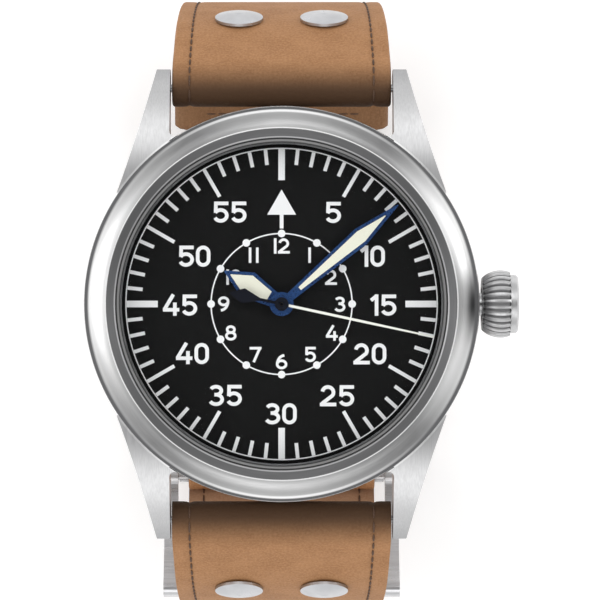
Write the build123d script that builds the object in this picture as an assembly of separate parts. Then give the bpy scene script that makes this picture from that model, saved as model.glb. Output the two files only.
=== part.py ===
from build123d import *
import os
from math import asin, atan2, cos, degrees, hypot, radians, sin, sqrt

# A hand-wound pilot's wristwatch, its leather strap buckled into a loop. Sizes in millimetres.
# The dial faces +Z, 12 o'clock is +Y and the crown points along +X.
# The origin is the middle of the case back's flat outer face.

# Clearances and shares used all over
overrun = 1.0
running_gap = 0.05
snug_gap = 0.02
leather_gap = 0.15

# Case middle, with its walls and steps measured inwards from its flank
case_radius = 21.2
case_wall = 3.75
case_foot_step = 0.9
case_foot_edge_step = 1.8
case_shoulder_step = 0.45
back_recess_wall = 2.9
bezel_neck_wall = 1.6
bezel_step = 0.2
case_low = 0.7
case_foot_height = 1.9
case_waist_height = 6.4
case_shoulder_height = 7.75
case_top = 8.2
case_bore_radius = case_radius - case_wall
case_foot_radius = case_radius - case_foot_step
case_foot_edge_radius = case_radius - case_foot_edge_step
case_shoulder_radius = case_radius - case_shoulder_step
back_recess_radius = case_radius - back_recess_wall
bezel_neck_radius = case_radius - bezel_neck_wall
bezel_radius = case_radius - bezel_step

# Lugs, which reach out from the case and grow out of its flank at a share of its radius
lug_gap = 24.0
lug_overhang = 4.1
lug_tip_width = 1.45
lug_root_x_share = 0.8302
lug_root_y_share = 0.5613
lug_bulge_width = 3.45
lug_bulge_back = 3.0
lug_corner_radius = 0.55
lug_top_height = 7.5
lug_top_length = 11.8
lug_crest_length = 4.7
lug_crest_height = 6.2
lug_nose_height = 3.2
lug_tip_height = 1.3
lug_sole_height = 0.2
lug_sole_bevel = 0.7
lug_sole_arch_length = 6.3
lug_sole_arch_height = 1.0
lug_reach = case_radius + lug_overhang
lug_root_x = case_radius * lug_root_x_share
lug_root_y = case_radius * lug_root_y_share
lug_bulge_x = lug_gap / 2 + lug_bulge_width
lug_bulge_y = case_radius - lug_bulge_back
lug_top_y = lug_reach - lug_top_length
lug_crest_y = lug_reach - lug_crest_length
lug_sole_y = lug_reach - lug_sole_bevel
lug_sole_arch_y = lug_reach - lug_sole_arch_length

# Spring bars, between the lugs
bar_setback = 2.0
bar_y = lug_reach - bar_setback
bar_z = 2.3
bar_radius = 0.75
bar_tip_radius = 0.45
bar_hole_radius = 0.5
bar_hole_depth = 0.95
bar_tip_gap = 0.1
bar_flange_radius = 0.62
bar_flange_thickness = 0.2
bar_flange_gap = 0.4
bar_travel = 1.0
bar_shank_length = 3.4
bar_spring_wall = 0.16

# Case back and its gasket
back_play = 0.1
back_flange_height = 1.3
back_edge_bevel = 0.3
back_floor = 0.9
back_neck_wall = 0.8
back_neck_top = 2.8
back_key_count = 6
back_key_setback = 0.9
back_key_width = 2.4
back_key_length = 1.6
back_key_depth = 0.45
gasket_play = 0.2
gasket_height = 0.4
back_flange_radius = back_recess_radius - back_play
back_neck_radius = case_bore_radius - running_gap
back_neck_inner_radius = back_neck_radius - back_neck_wall
back_key_radius_out = back_flange_radius - back_key_setback
gasket_inner_radius = back_neck_radius + gasket_play
gasket_outer_radius = back_flange_radius - gasket_play

# Bezel, crystal and inner flange, their widths measured inwards from the bezel's flank
bezel_low = 7.8
bezel_wall_top = 9.15
bezel_edge_width = 0.5
bezel_edge_height = 9.85
bezel_mid_width = 1.35
bezel_mid_height = 10.5
bezel_crest_width = 2.35
bezel_crest_height = 10.75
bezel_width = 3.34
bezel_lip_height = 10.38
bezel_seat_height = 8.65
bezel_seat_low = 8.25
bezel_seat_width = 0.66
crystal_play = 0.16
crystal_side_height = 9.95
crystal_bevel_width = 0.37
crystal_bevel_height = 10.3
crystal_dome_height = 10.6
rehaut_play = 0.1
rehaut_low_wall = 0.55
rehaut_high_wall = 0.3
bezel_edge_radius = bezel_radius - bezel_edge_width
bezel_mid_radius = bezel_radius - bezel_mid_width
bezel_crest_radius = bezel_radius - bezel_crest_width
bezel_lip_radius = bezel_radius - bezel_width
bezel_seat_radius = bezel_lip_radius - bezel_seat_width
crystal_radius = bezel_lip_radius - crystal_play
crystal_bevel_radius = crystal_radius - crystal_bevel_width
rehaut_outer_radius = case_bore_radius - rehaut_play
rehaut_low_radius = rehaut_outer_radius - rehaut_low_wall
rehaut_high_radius = rehaut_outer_radius - rehaut_high_wall

# Dial
dial_low = 6.3
dial_high = 6.7
dial_play = 0.15
dial_radius = case_bore_radius - dial_play
dial_hole_radius = 1.25
dial_foot_radius = 0.35
dial_foot_length = 0.9
dial_foot_place = 13.6
dial_foot_angles = (62.0, 242.0)

# Printing on the dial, which follows the minute circle
print_height = 0.04
track_margin = 0.7
track_line = 0.12
tick_length = 1.7
long_tick_length = 3.4
tick_width = 0.385
bar_width = 0.7
minutes_round = 60
minutes_per_hour_mark = 5
hours_round = 12
triangle_gap = 1.0
triangle_height = 2.68
triangle_half_width = 1.54
triangle_stem_width = 0.4
triangle_stem_gap = 0.53
hour_ring_share = 0.453
hour_ring_line = 0.14
hour_dot_radius = 0.405
track_radius = dial_radius - track_margin
tick_inner_radius = track_radius - tick_length
long_tick_inner_radius = track_radius - long_tick_length
hour_ring_radius = track_radius * hour_ring_share
triangle_apex_y = long_tick_inner_radius - triangle_gap
triangle_base_y = triangle_apex_y - triangle_height
triangle_stem_low_y = hour_ring_radius + triangle_stem_gap
numeral_height = 2.27
hour_numeral_height = 1.64
numeral_stroke_share = 0.17
numeral_space_share = 0.09
eleven_space_share = 0.29
numeral_round_steps = 14
# Places of the minute numerals as shares of the minute circle's radius
numeral_place_shares = {5: (0.330, 0.588), 10: (0.583, 0.307), 15: (0.652, -0.007),
                        20: (0.567, -0.320), 25: (0.356, -0.589), 30: (-0.007, -0.705)}
numeral_place_shares_left = {55: (-0.334, 0.590), 50: (-0.561, 0.307), 45: (-0.652, -0.007),
                             40: (-0.572, -0.318), 35: (-0.364, -0.587)}
# Places of the hour numerals as shares of the hour ring's radius
hour_place_shares = {12: (0.003, 0.823), 1: (0.397, 0.692), 2: (0.700, 0.379), 3: (0.822, -0.004),
                     4: (0.712, -0.411), 5: (0.404, -0.715), 6: (0.0, -0.817)}
hour_place_shares_left = {11: (-0.396, 0.692), 10: (-0.680, 0.381), 9: (-0.824, 0.0),
                          8: (-0.720, -0.410), 7: (-0.369, -0.716)}

# Numerals as pen strokes at unit height: (x, y, x, y) is a straight stroke, and
# (middle x, middle y, reach x, reach y, start, end) is a round one, its angles in degrees
digit_stroke_shares = {
    "0": [[(0.345, 0.655, 0.256, 0.256, 0, 180), (0.345, 0.345, 0.256, 0.256, 180, 360),
           (0.601, 0.345, 0.601, 0.655)]],
    "1": [[(0.311, 1.0, 0.311, 0.0)], [(0.34, 0.95, 0.05, 0.72)]],
    "bar": [[(0.089, 1.0, 0.089, 0.0)]],
    "2": [[(0.375, 0.655, 0.262, 0.256, 170, -35), (0.589, 0.508, 0.10, 0.13)],
          [(0.0, 0.089, 0.77, 0.089)]],
    "3": [[(0.375, 0.723, 0.25, 0.188, 155, -90), (0.375, 0.535, 0.30, 0.535)],
          [(0.30, 0.535, 0.375, 0.535), (0.375, 0.312, 0.292, 0.223, 90, -155)]],
    "4": [[(0.49, 1.0, 0.06, 0.28)], [(0.0, 0.28, 0.77, 0.28)], [(0.56, 0.62, 0.56, 0.0)]],
    "5": [[(0.74, 0.911, 0.07, 0.911)], [(0.155, 0.95, 0.14, 0.47)],
          [(0.375, 0.345, 0.29, 0.256, 150, -155)]],
    "6": [[(0.375, 0.325, 0.286, 0.236, 0, 360)], [(0.595, 0.335, 0.506, 0.576, 180, 95)]],
    "7": [[(0.0, 0.911, 0.77, 0.911)], [(0.68, 0.95, 0.26, 0.0)]],
    "8": [[(0.385, 0.715, 0.235, 0.196, 0, 360)], [(0.385, 0.31, 0.286, 0.221, 0, 360)]],
    "9": [[(0.395, 0.675, 0.286, 0.236, 0, 360)], [(0.175, 0.665, 0.506, 0.576, 0, -85)]],
}
digit_width_shares = {"0": 0.69, "1": 0.4, "bar": 0.178, "2": 0.77, "3": 0.75, "4": 0.77,
                      "5": 0.75, "6": 0.75, "7": 0.77, "8": 0.77, "9": 0.77}

# Hands, whose tips follow the hour ring and the minute circle
hand_thickness = 0.15
hub_radius = 1.28
hand_border = 0.32
hour_hand_low = 7.25
hour_hand_short_of_ring = 0.52
hour_hand_width = 2.95
hour_hand_taper = 2.85
hour_hand_neck_width = 1.3
hour_lume_from = 1.55
hour_hand_angle = 150.0
minute_hand_low = 7.7
minute_hand_short_of_track = 0.33
minute_hand_width = 2.04
minute_hand_taper = 5.17
minute_hand_neck_width = 0.8
minute_lume_from = 2.5
minute_hand_angle = 40.4
hand_tip_width = 0.16
seconds_hand_low = 8.15
seconds_hand_thickness = 0.12
seconds_hub_radius = 0.73
seconds_hub_height = 0.3
seconds_needle_width = 0.27
seconds_past_track = 0.02
hour_hand_length = hour_ring_radius - hour_hand_short_of_ring
hour_hand_wide_at = hour_hand_length - hour_hand_taper
minute_hand_length = track_radius - minute_hand_short_of_track
minute_hand_wide_at = minute_hand_length - minute_hand_taper
seconds_length = track_radius + seconds_past_track
seconds_tail_neck = 0.3
seconds_tail_wide_at = 4.16
seconds_tail_width = 1.62
seconds_tail_length = 5.65
seconds_hand_angle = -12.2

# Crown, tube and stem, all on the line of the stem
stem_z = 4.4
crown_gap = 0.3
crown_base_x = case_radius + crown_gap
crown_length = 3.85
crown_base_radius = 2.8
crown_wide_radius = 3.62
crown_wide_at = 2.05
crown_flute_end_radius = 3.45
crown_flute_end_at = 3.0
crown_cap_radius = 3.12
crown_cap_bevel = 0.18
crown_flutes = 30
crown_flute_radius = 0.27
crown_flute_offset = 0.1
crown_bore_depth = 2.2
crown_gasket_at = 0.8
crown_gasket_length = 0.6
crown_gasket_radius = 1.75
crown_thread_depth = 3.0
tube_radius = 1.25
tube_inner_radius = 0.7
tube_outside = 1.8
tube_inside_x = case_bore_radius + running_gap
stem_radius = 0.45
stem_inner_x = 7.3
stem_pivot_radius = 0.25
stem_pivot_end_x = 8.0
stem_square_side = 0.6
stem_square_end_x = 11.2
stem_groove_x = 12.4
stem_groove_width = 0.8
stem_groove_radius = 0.28

# Movement, its plate and bridges
plate_radius = 15.0
plate_low = 4.6
plate_channel_depth = 0.85
holder_play = 0.1
holder_outer_radius = case_bore_radius - holder_play
train_bridge_low = 1.95
train_bridge_high = 2.5
barrel_bridge_low = 2.35
barrel_bridge_high = 2.85
bridge_edge_radius = 14.5
bridge_wall_radius = 12.95
cock_low = 1.55
cock_high = 2.1
screw_head_radius = 0.7
screw_head_height = 0.35
screw_shank_radius = 0.4
screw_bite = 0.8
pivot_radius = 0.12
pivot_gap = 0.03
arbor_radius = 0.3
foot_radius = 1.15
bearing_depth = 0.3
bridge_arm_width = 2.2
screw_slot_width = 0.22
screw_slot_depth = 0.15
third_foot_place = (6.2, -4.6)
third_foot_place_left = (-3.6, -9.2)
escape_foot_place = (-5.2, 4.2)
cock_foot_place = (-8.4, -10.4)
wall_screw_angles = (50.0, 75.0, 97.0)
barrel_bridge_left = -3.0
barrel_bridge_low_y = 4.6
barrel_bridge_low_right_y = -2.2
barrel_bridge_inner_x = 2.2
rim_share = 0.84
hub_wall = 0.45
wheel_spokes = 5
spoke_width = 0.45

# Gear teeth, as shares of the module or of the tooth pitch
tooth_tip_rise_share = 0.75
tooth_root_drop_share = 1.0
tooth_root_half_share = 0.33
tooth_pitch_half_share = 0.23
tooth_tip_half_share = 0.11

# Going train: tooth counts, modules, heights
barrel_teeth = 78
centre_pinion_teeth = 12
barrel_module = 0.145
centre_teeth = 80
third_pinion_teeth = 10
third_teeth = 75
fourth_pinion_teeth = 10
train_distance = 4.25
fourth_teeth = 80
escape_pinion_teeth = 8
escape_module = 0.0945
escape_teeth = 15
escape_radius = 2.3
wheel_thickness = 0.2
barrel_angle = 55.0
third_angle = -90.0
escape_angle = 180.0
pallet_angle = 210.0
centre_wheel_low = 4.1
centre_pinion_low = 3.45
centre_pinion_high = 4.0
barrel_low = 3.0
barrel_high = 3.95
barrel_rim_low = 3.5
barrel_rim_high = 3.9
barrel_drum_radius = 5.25
barrel_wall = 0.2
barrel_arbor_radius = 1.1
barrel_core_radius = 1.5
barrel_post_radius = 0.6
barrel_pivot_radius = 0.4
mainspring_strip = 0.12
mainspring_turns = 7
mainspring_height = 0.45
third_pinion_low = 4.02
third_pinion_high = 4.38
third_wheel_low = 3.05
fourth_pinion_low = 2.95
fourth_pinion_high = 3.35
fourth_wheel_low = 2.65
seconds_arbor_radius = 0.16
escape_wheel_low = 3.5
escape_wheel_thickness = 0.15
escape_pinion_low = 2.6
escape_pinion_high = 3.0
escape_root_share = 0.78
escape_back_share = 0.52
escape_tip_share = 0.6
escape_face_share = 0.5
escape_lead = 2.0
pinion_arbor_radius = 0.22
balance_distance = 3.3
pallet_low = 3.75
pallet_thickness = 0.15
pallet_stone_low = 3.48
pallet_stone_width = 0.18
pallet_stone_reach = 0.35
pallet_stud_radius = 0.18
pallet_reach = 1.4
pallet_spread = 60.0
pallet_arm_width = 0.34
fork_width = 0.62
fork_slot_width = 0.3
roller_radius = 0.8
roller_low = 3.98
roller_thickness = 0.14
impulse_pin_radius = 0.09
impulse_place = 0.6
balance_radius = 4.2
balance_rim_width = 0.45
balance_low = 2.5
balance_high = 2.95
balance_spoke_width = 0.5
balance_screws = 12
balance_screw_radius = 0.16
hairspring_low = 2.22
hairspring_high = 2.36
hairspring_turns = 6
hairspring_inner_radius = 0.5
hairspring_outer_radius = 2.1
hairspring_wire = 0.07

# Winding work
ratchet_teeth = 54
crown_wheel_teeth = 36
winding_module = 0.16
ratchet_low = 1.9
ratchet_high = 2.25
crown_wheel_rim_radius = 2.85
crown_wheel_rim_width = 0.7
crown_wheel_finger_place = (12.2, 3.4)
crown_wheel_finger_low = 1.35
crown_wheel_finger_high = 1.8
winding_pinion_x = 10.25
winding_pinion_length = 1.3
winding_pinion_radius = 1.45
winding_pinion_teeth = 16
sliding_pinion_x = 8.75
sliding_pinion_length = 1.2
sliding_pinion_radius = 0.95
sliding_pinion_waist = 0.65
click_width = 0.7
click_low = 1.95
click_thickness = 0.25
click_angle = 180.0
click_spread = 22.0
click_pivot_offset = 1.5
click_nose_gap = 0.12

# Motion work under the dial
cannon_teeth = 12
minute_wheel_teeth = 36
minute_pinion_teeth = 9
hour_wheel_teeth = 36
setting_wheel_teeth = 40
motion_module = 0.1
motion_distance = 2.4
cannon_low = 5.5
cannon_teeth_high = 5.85
cannon_radius = 0.5
minute_wheel_low = 5.55
minute_wheel_high = 5.8
minute_pinion_high = 6.2
hour_wheel_low = 5.95
hour_wheel_high = 6.15
hour_pipe_radius = 0.95
setting_wheel_low = 5.55
setting_wheel_high = 5.8
lever_low = 5.55
lever_high = 5.8
lever_width = 1.0
lever_arm = 2.5
lever_pin_radius = 0.2
lever_turn = 28.65
yoke_arm = 3.0
yoke_width = 0.7
yoke_turn = 11.46
motion_room = 0.24
stud_radius = 0.22
stem_block_width = 1.6
stem_block_wall = 0.3

# Strap: bends of its middle line, seen from the side
strap_wrap_radius = 2.0
strap_thickness = 2.8
strap_root_heading = -35.0
strap_knee_heading = -70.0
strap_root_bend = 19.0
strap_side_bend = 46.0
strap_side_straight = 1.5
strap_corner_bend = 17.0
strap_width_top = 23.6
strap_width_bottom = 22.0
strap_flex_gap = 0.8
tail_thickness = 2.4
tail_tip_back = 0.6
tail_tip_radius = 5.5
strap_hole_count = 4
strap_hole_pitch = 6.5
strap_hole_radius = 1.0

# Rivets
rivet_angle = 21.0
rivet_radius = 2.63
rivet_dome_height = 0.75
rivet_rim_height = 0.3
rivet_spacing = 9.36
rivet_shank_radius = 1.2
rivet_back_radius = 2.2
rivet_back_height = 0.45
rivet_back_sink = 0.26

# Buckle and keepers, and the holes that start after them, placed from the 6 o'clock spring bar
buckle_bar_inset = 2.9
fixed_keeper_run = 8.2
first_hole_run = 6.7
buckle_bar_y = buckle_bar_inset - bar_y
fixed_keeper_y = buckle_bar_y + fixed_keeper_run
strap_hole_first_y = fixed_keeper_y + first_hole_run
buckle_bar_lift = 0.3
buckle_bar_radius = 0.75
buckle_wrap_radius = 1.6
buckle_length = 13.2
buckle_bar_half_height = 1.05
buckle_eye_radius = 1.35
buckle_arm_gap = 1.25
buckle_arm_width = 1.6
buckle_hole_depth = 1.2
tongue_width = 1.9
tongue_height = 1.1
tongue_eye_radius = 1.3
tongue_length = 15.4
tongue_lift = 8.0
tongue_slot_play = 0.25
tongue_slot_width = 2.6
keeper_wall = 1.4
keeper_corner_radius = 1.2
keeper_side_gap = 0.35
keeper_length = 4.2
fixed_keeper_gap = 0.15
free_keeper_angle = -71.0
free_keeper_inner_gap = 0.7
free_keeper_outer_gap = 0.5

full_turn = 360.0
half_turn = full_turn / 2
quarter_turn = full_turn / 4


def disc(radius, low, high, place=(0, 0)):
    """Round plate or post between two heights."""
    return Pos(place[0], place[1], low) * extrude(Circle(radius), amount=high - low)


def ring(outer, inner, low, high, place=(0, 0)):
    """Round ring between two heights."""
    return Pos(place[0], place[1], low) * extrude(Circle(outer) - Circle(inner), amount=high - low)


def slab(face, low, high):
    """A flat outline given thickness between two heights."""
    return Pos(0, 0, low) * extrude(face, amount=high - low)


def arm(start, end, width, low, high):
    """Round-ended bar from one place to another."""
    length = hypot(end[0] - start[0], end[1] - start[1])
    angle = degrees(atan2(end[1] - start[1], end[0] - start[0]))
    middle = ((start[0] + end[0]) / 2, (start[1] + end[1]) / 2)
    return slab(Pos(*middle) * Rot(0, 0, angle) * SlotCenterToCenter(length, width), low, high)


def turned(points):
    """Body of revolution about Z from radius and height pairs."""
    return revolve(Plane.XZ * make_face(Polyline(*points, close=True)), Axis.Z)


def along_x(solid, x=0, y=0, z=0):
    """Lays a body built along Z on a line along +X."""
    return Pos(x, y, z) * Rot(0, quarter_turn, 0) * solid


def polar(distance, angle, centre=(0, 0)):
    """A place at a distance and angle from another."""
    return (centre[0] + distance * cos(radians(angle)), centre[1] + distance * sin(radians(angle)))


def save(node, *solids):
    """Writes one sub-part, as one solid or a group of separate ones."""
    shape = solids[0] if len(solids) == 1 else Compound(children=list(solids))
    export_step(shape, os.path.join("parts", node + ".step"))


def mirrored_y(solid):
    """The same body on the 6 o'clock side."""
    return mirror(solid, about=Plane.XZ)


# Gears


def pitch_radius(teeth, module):
    return teeth * module / 2


def toothed_face(teeth, module, first_tooth_angle):
    """Outline of a gear with straight-sided teeth, the first tooth at the given angle."""
    tip = pitch_radius(teeth, module) + tooth_tip_rise_share * module
    root = pitch_radius(teeth, module) - tooth_root_drop_share * module
    mean = pitch_radius(teeth, module)
    step = full_turn / teeth
    corners = []
    for tooth in range(teeth):
        angle = first_tooth_angle + tooth * step
        for radius, share in ((root, -tooth_root_half_share), (mean, -tooth_pitch_half_share),
                              (tip, -tooth_tip_half_share), (tip, tooth_tip_half_share),
                              (mean, tooth_pitch_half_share), (root, tooth_root_half_share)):
            corners.append(polar(radius, angle + share * step))
    return make_face(Polyline(*corners, close=True))


def gear(teeth, module, low, high, place=(0, 0), first_tooth_angle=0.0):
    return Pos(*place) * slab(toothed_face(teeth, module, first_tooth_angle), low, high)


def meshed_angle(teeth, first_tooth_angle, mate_teeth, direction):
    """First tooth angle of a gear whose teeth stand in the gaps of its mate in that direction."""
    step = full_turn / teeth
    mate_step = full_turn / mate_teeth
    return direction + half_turn - mate_step * ((first_tooth_angle - direction) / step + 1 / 2)


def spoked(wheel, outer, inner, spokes, width, low, high, place):
    """Cuts the openings between a wheel's spokes."""
    window = ring(outer, inner, low, high, place)
    for spoke in range(spokes):
        end = polar(outer + overrun, spoke * full_turn / spokes, place)
        window -= arm(place, end, width, low, high)
    return wheel - window


# Places of the train, worked out from the tooth counts
centre = (0, 0)
centre_module = 2 * train_distance / (centre_teeth + third_pinion_teeth)
third_module = 2 * train_distance / (third_teeth + fourth_pinion_teeth)
barrel_place = polar(pitch_radius(barrel_teeth + centre_pinion_teeth, barrel_module), barrel_angle)
third_place = polar(train_distance, third_angle)
escape_place = polar(pitch_radius(fourth_teeth + escape_pinion_teeth, escape_module), escape_angle)
pallet_distance = escape_radius / cos(radians(pallet_spread / 2))
pallet_place = polar(pallet_distance, pallet_angle, escape_place)
balance_place = polar(balance_distance, pallet_angle, pallet_place)
pinion_module = 2 * motion_distance / (minute_pinion_teeth + hour_wheel_teeth)
minute_wheel_place = (motion_distance, 0)
setting_distance = pitch_radius(minute_wheel_teeth + setting_wheel_teeth, motion_module)
setting_wheel_place = (motion_distance + setting_distance, 0)


winding_distance = pitch_radius(ratchet_teeth + crown_wheel_teeth, winding_module)
crown_wheel_place = (barrel_place[0] + sqrt(winding_distance ** 2 - barrel_place[1] ** 2), 0)
click_place = polar(pitch_radius(ratchet_teeth, winding_module) + click_pivot_offset,
                    click_angle, barrel_place)


# Strap: places on its side view, as pairs of Y and Z, worked out from the bends
bar_place = (bar_y, bar_z)
root_centre = polar(strap_root_bend, strap_root_heading - quarter_turn, bar_place)
knee_place = polar(strap_root_bend, strap_knee_heading + quarter_turn, root_centre)
side_centre = polar(strap_side_bend, strap_knee_heading - quarter_turn, knee_place)
side_y = side_centre[0] + strap_side_bend
half_strap = strap_thickness / 2
bottom_z = side_centre[1] - strap_side_straight - strap_corner_bend
long_bend = strap_corner_bend + strap_thickness + leather_gap
back_corner = (long_bend - side_y, bottom_z + strap_corner_bend)
eye_distance = strap_corner_bend - buckle_bar_lift
buckle_pin_drop = sqrt(eye_distance ** 2 - (buckle_bar_y - back_corner[0]) ** 2)
buckle_pin = (buckle_bar_y, back_corner[1] - buckle_pin_drop)
flex_pin = (buckle_pin[0] + 2 * bar_y, buckle_pin[1])
flex_run = side_y - flex_pin[0]
flex_rise = flex_pin[1] - bottom_z
front_bend = flex_run + flex_rise + sqrt(2 * flex_run * flex_rise)
front_corner = (side_y - front_bend, bottom_z + front_bend)


def direction(start, end):
    """Direction in degrees from one place to another."""
    return degrees(atan2(end[1] - start[1], end[0] - start[0]))


buckle_pin_angle = direction(back_corner, buckle_pin)
flex_pin_angle = direction(front_corner, flex_pin)
frame_bar_angle = buckle_pin_angle - degrees(buckle_length / long_bend)
frame_bar_place = polar(long_bend + half_strap + leather_gap + buckle_bar_half_height,
                        frame_bar_angle, back_corner)
tongue_rise = buckle_bar_half_height + tongue_height / 2 + running_gap
frame_bar_distance = hypot(frame_bar_place[0] - buckle_pin[0], frame_bar_place[1] - buckle_pin[1])
tongue_angle = direction(buckle_pin, frame_bar_place) + degrees(asin(tongue_rise / frame_bar_distance))


def bend_edge(centre_of_bend, radius, start, end):
    """Arc between two directions about a bend's centre."""
    return ThreePointArc(polar(radius, start, centre_of_bend),
                         polar(radius, (start + end) / 2, centre_of_bend),
                         polar(radius, end, centre_of_bend))


def band(bends, inside, outside):
    """Side outline of a strap along its bends, with straight stretches between them."""
    edges = []
    ends = []
    for offset_out in (outside, inside):
        arcs = [bend_edge(place, radius + offset_out, start, end)
                for place, radius, start, end in bends]
        edges += arcs
        for first, second in zip(arcs, arcs[1:]):
            if (first @ 1 - second @ 0).length > snug_gap:
                edges.append(Line(first @ 1, second @ 0))
        ends.append((arcs[0] @ 0, arcs[-1] @ 1))
    edges.append(Line(ends[0][0], ends[1][0]))
    edges.append(Line(ends[0][1], ends[1][1]))
    return make_face(edges)


def across(face, half_width):
    """A side outline made as wide as the strap, to both sides of the middle."""
    return extrude(Plane.YZ * face, amount=half_width, both=True)


def dome_edge(rim_radius, rim_height, top_height):
    """Arc of a shallow dome, from its rim to its top on the axis."""
    rise = top_height - rim_height
    radius = (rim_radius ** 2 + rise ** 2) / (2 * rise)
    half_angle = asin(rim_radius / radius) / 2
    middle = (radius * sin(half_angle), top_height - radius * (1 - cos(half_angle)))
    return ThreePointArc((rim_radius, rim_height), middle, (0, top_height))


def rod(radius, low_x, high_x, y, z):
    """Round bar along X."""
    return along_x(disc(radius, low_x, high_x), 0, y, z)


# Case


def lug_outline():
    """Plan of one lug, with the small round that joins it to the case."""
    inner_x = lug_gap / 2
    tip_x = inner_x + lug_tip_width
    lug = make_face([
        ThreePointArc((lug_root_x, lug_root_y), (lug_bulge_x, lug_bulge_y), (tip_x, lug_reach)),
        Line((tip_x, lug_reach), (inner_x, lug_reach)),
        Line((inner_x, lug_reach), (inner_x, lug_root_y)),
        Line((inner_x, lug_root_y), (lug_root_x, lug_root_y))])
    round_x = inner_x - lug_corner_radius
    round_y = sqrt((case_radius + lug_corner_radius) ** 2 - round_x ** 2)
    share = case_radius / (case_radius + lug_corner_radius)
    corner = make_face(Polyline((inner_x, round_y), (round_x, round_y),
                                (round_x * share, round_y * share),
                                (inner_x, round_y * share - lug_corner_radius), close=True))
    return (Sketch() + lug + (corner - Pos(round_x, round_y) * Circle(lug_corner_radius)))


def lug_side_outline():
    """Side view of the lugs at 12 o'clock."""
    return make_face([
        Line((0, case_low), (0, lug_top_height)),
        Line((0, lug_top_height), (lug_top_y, lug_top_height)),
        ThreePointArc((lug_top_y, lug_top_height), (lug_crest_y, lug_crest_height),
                      (lug_reach, lug_nose_height)),
        Line((lug_reach, lug_nose_height), (lug_reach, lug_tip_height)),
        Line((lug_reach, lug_tip_height), (lug_sole_y, lug_sole_height)),
        ThreePointArc((lug_sole_y, lug_sole_height), (lug_sole_arch_y, lug_sole_arch_height),
                      (lug_root_y, case_low)),
        Line((lug_root_y, case_low), (0, case_low))])


def lug():
    """The lug between 12 and 3 o'clock."""
    blank = slab(lug_outline(), 0, case_top)
    sides = extrude(Plane.YZ * lug_side_outline(), amount=case_radius)
    return (blank & sides) - rod(bar_hole_radius, 0, lug_gap / 2 + bar_hole_depth, bar_y, bar_z)


def case_ring():
    recess_top = back_flange_height + gasket_height + snug_gap
    return turned([
        (case_bore_radius, recess_top), (back_recess_radius, recess_top),
        (back_recess_radius, case_low), (case_foot_edge_radius, case_low),
        (case_foot_radius, (case_low + case_foot_height) / 2), (case_radius, case_foot_height),
        (case_radius, case_waist_height), (case_shoulder_radius, case_shoulder_height),
        (bezel_neck_radius, case_shoulder_height), (bezel_neck_radius, case_top),
        (case_bore_radius, case_top)])


def case_middle():
    lug_body = lug() - disc(back_recess_radius, 0, case_top)
    pair = lug_body + mirror(lug_body, about=Plane.YZ)
    body = case_ring() + pair + mirror(pair, about=Plane.XZ)
    save("case_middle", body - rod(tube_radius + snug_gap, tube_inside_x - overrun,
                                   case_radius + overrun, 0, stem_z))


def case_back():
    body = turned([
        (0, 0), (back_flange_radius - back_edge_bevel, 0), (back_flange_radius, back_edge_bevel),
        (back_flange_radius, back_flange_height), (back_neck_radius, back_flange_height),
        (back_neck_radius, back_neck_top), (back_neck_inner_radius, back_neck_top),
        (back_neck_inner_radius, back_floor), (0, back_floor)])
    for key in range(back_key_count):
        notch = Pos(back_key_radius_out, 0) * Rectangle(back_key_length * 2, back_key_width)
        body -= Rot(0, 0, key * full_turn / back_key_count) * slab(notch, -overrun, back_key_depth)
    save("case_back", body)
    save("case_back_gasket", ring(gasket_outer_radius, gasket_inner_radius, back_flange_height,
                                  back_flange_height + gasket_height))


def bezel():
    inner_neck = bezel_neck_radius + running_gap
    profile = make_face([
        Line((bezel_radius, bezel_low), (bezel_radius, bezel_wall_top)),
        Line((bezel_radius, bezel_wall_top), (bezel_edge_radius, bezel_edge_height)),
        ThreePointArc((bezel_edge_radius, bezel_edge_height), (bezel_mid_radius, bezel_mid_height),
                      (bezel_crest_radius, bezel_crest_height)),
        Polyline((bezel_crest_radius, bezel_crest_height), (bezel_lip_radius, bezel_lip_height),
                 (bezel_lip_radius, bezel_seat_height), (bezel_seat_radius, bezel_seat_height),
                 (bezel_seat_radius, bezel_seat_low), (inner_neck, bezel_seat_low),
                 (inner_neck, bezel_low), (bezel_radius, bezel_low))])
    save("bezel", revolve(Plane.XZ * profile, Axis.Z))


def crystal():
    low = bezel_seat_height + snug_gap
    profile = make_face([
        Polyline((0, low), (crystal_radius, low), (crystal_radius, crystal_side_height),
                 (crystal_bevel_radius, crystal_bevel_height)),
        dome_edge(crystal_bevel_radius, crystal_bevel_height, crystal_dome_height),
        Line((0, crystal_dome_height), (0, low))])
    save("crystal", revolve(Plane.XZ * profile, Axis.Z))
    save("crystal_gasket", ring(bezel_lip_radius - snug_gap, crystal_radius + snug_gap, low,
                                crystal_side_height))


def rehaut_ring():
    low = dial_high + snug_gap
    save("rehaut_ring", turned([
        (rehaut_low_radius, low), (rehaut_outer_radius, low), (rehaut_outer_radius, case_top),
        (rehaut_high_radius, case_top)]))


# Dial and its printing


def dial():
    body = disc(dial_radius, dial_low, dial_high) - disc(dial_hole_radius, 0, case_top)
    for foot_angle in dial_foot_angles:
        body += disc(dial_foot_radius, dial_low - dial_foot_length, dial_low,
                     polar(dial_foot_place, foot_angle))
    save("dial", body)


def curve_points(curve, height):
    """Points along one curve of a numeral, drawn at unit height and scaled."""
    if len(curve) == 4:
        return [(curve[0] * height, curve[1] * height), (curve[2] * height, curve[3] * height)]
    middle_x, middle_y, reach_x, reach_y, start, end = curve
    steps = max(2, round(numeral_round_steps * abs(end - start) / half_turn))
    points = []
    for step in range(steps + 1):
        angle = radians(start + (end - start) * step / steps)
        points.append(((middle_x + reach_x * cos(angle)) * height,
                       (middle_y + reach_y * sin(angle)) * height))
    return points


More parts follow.
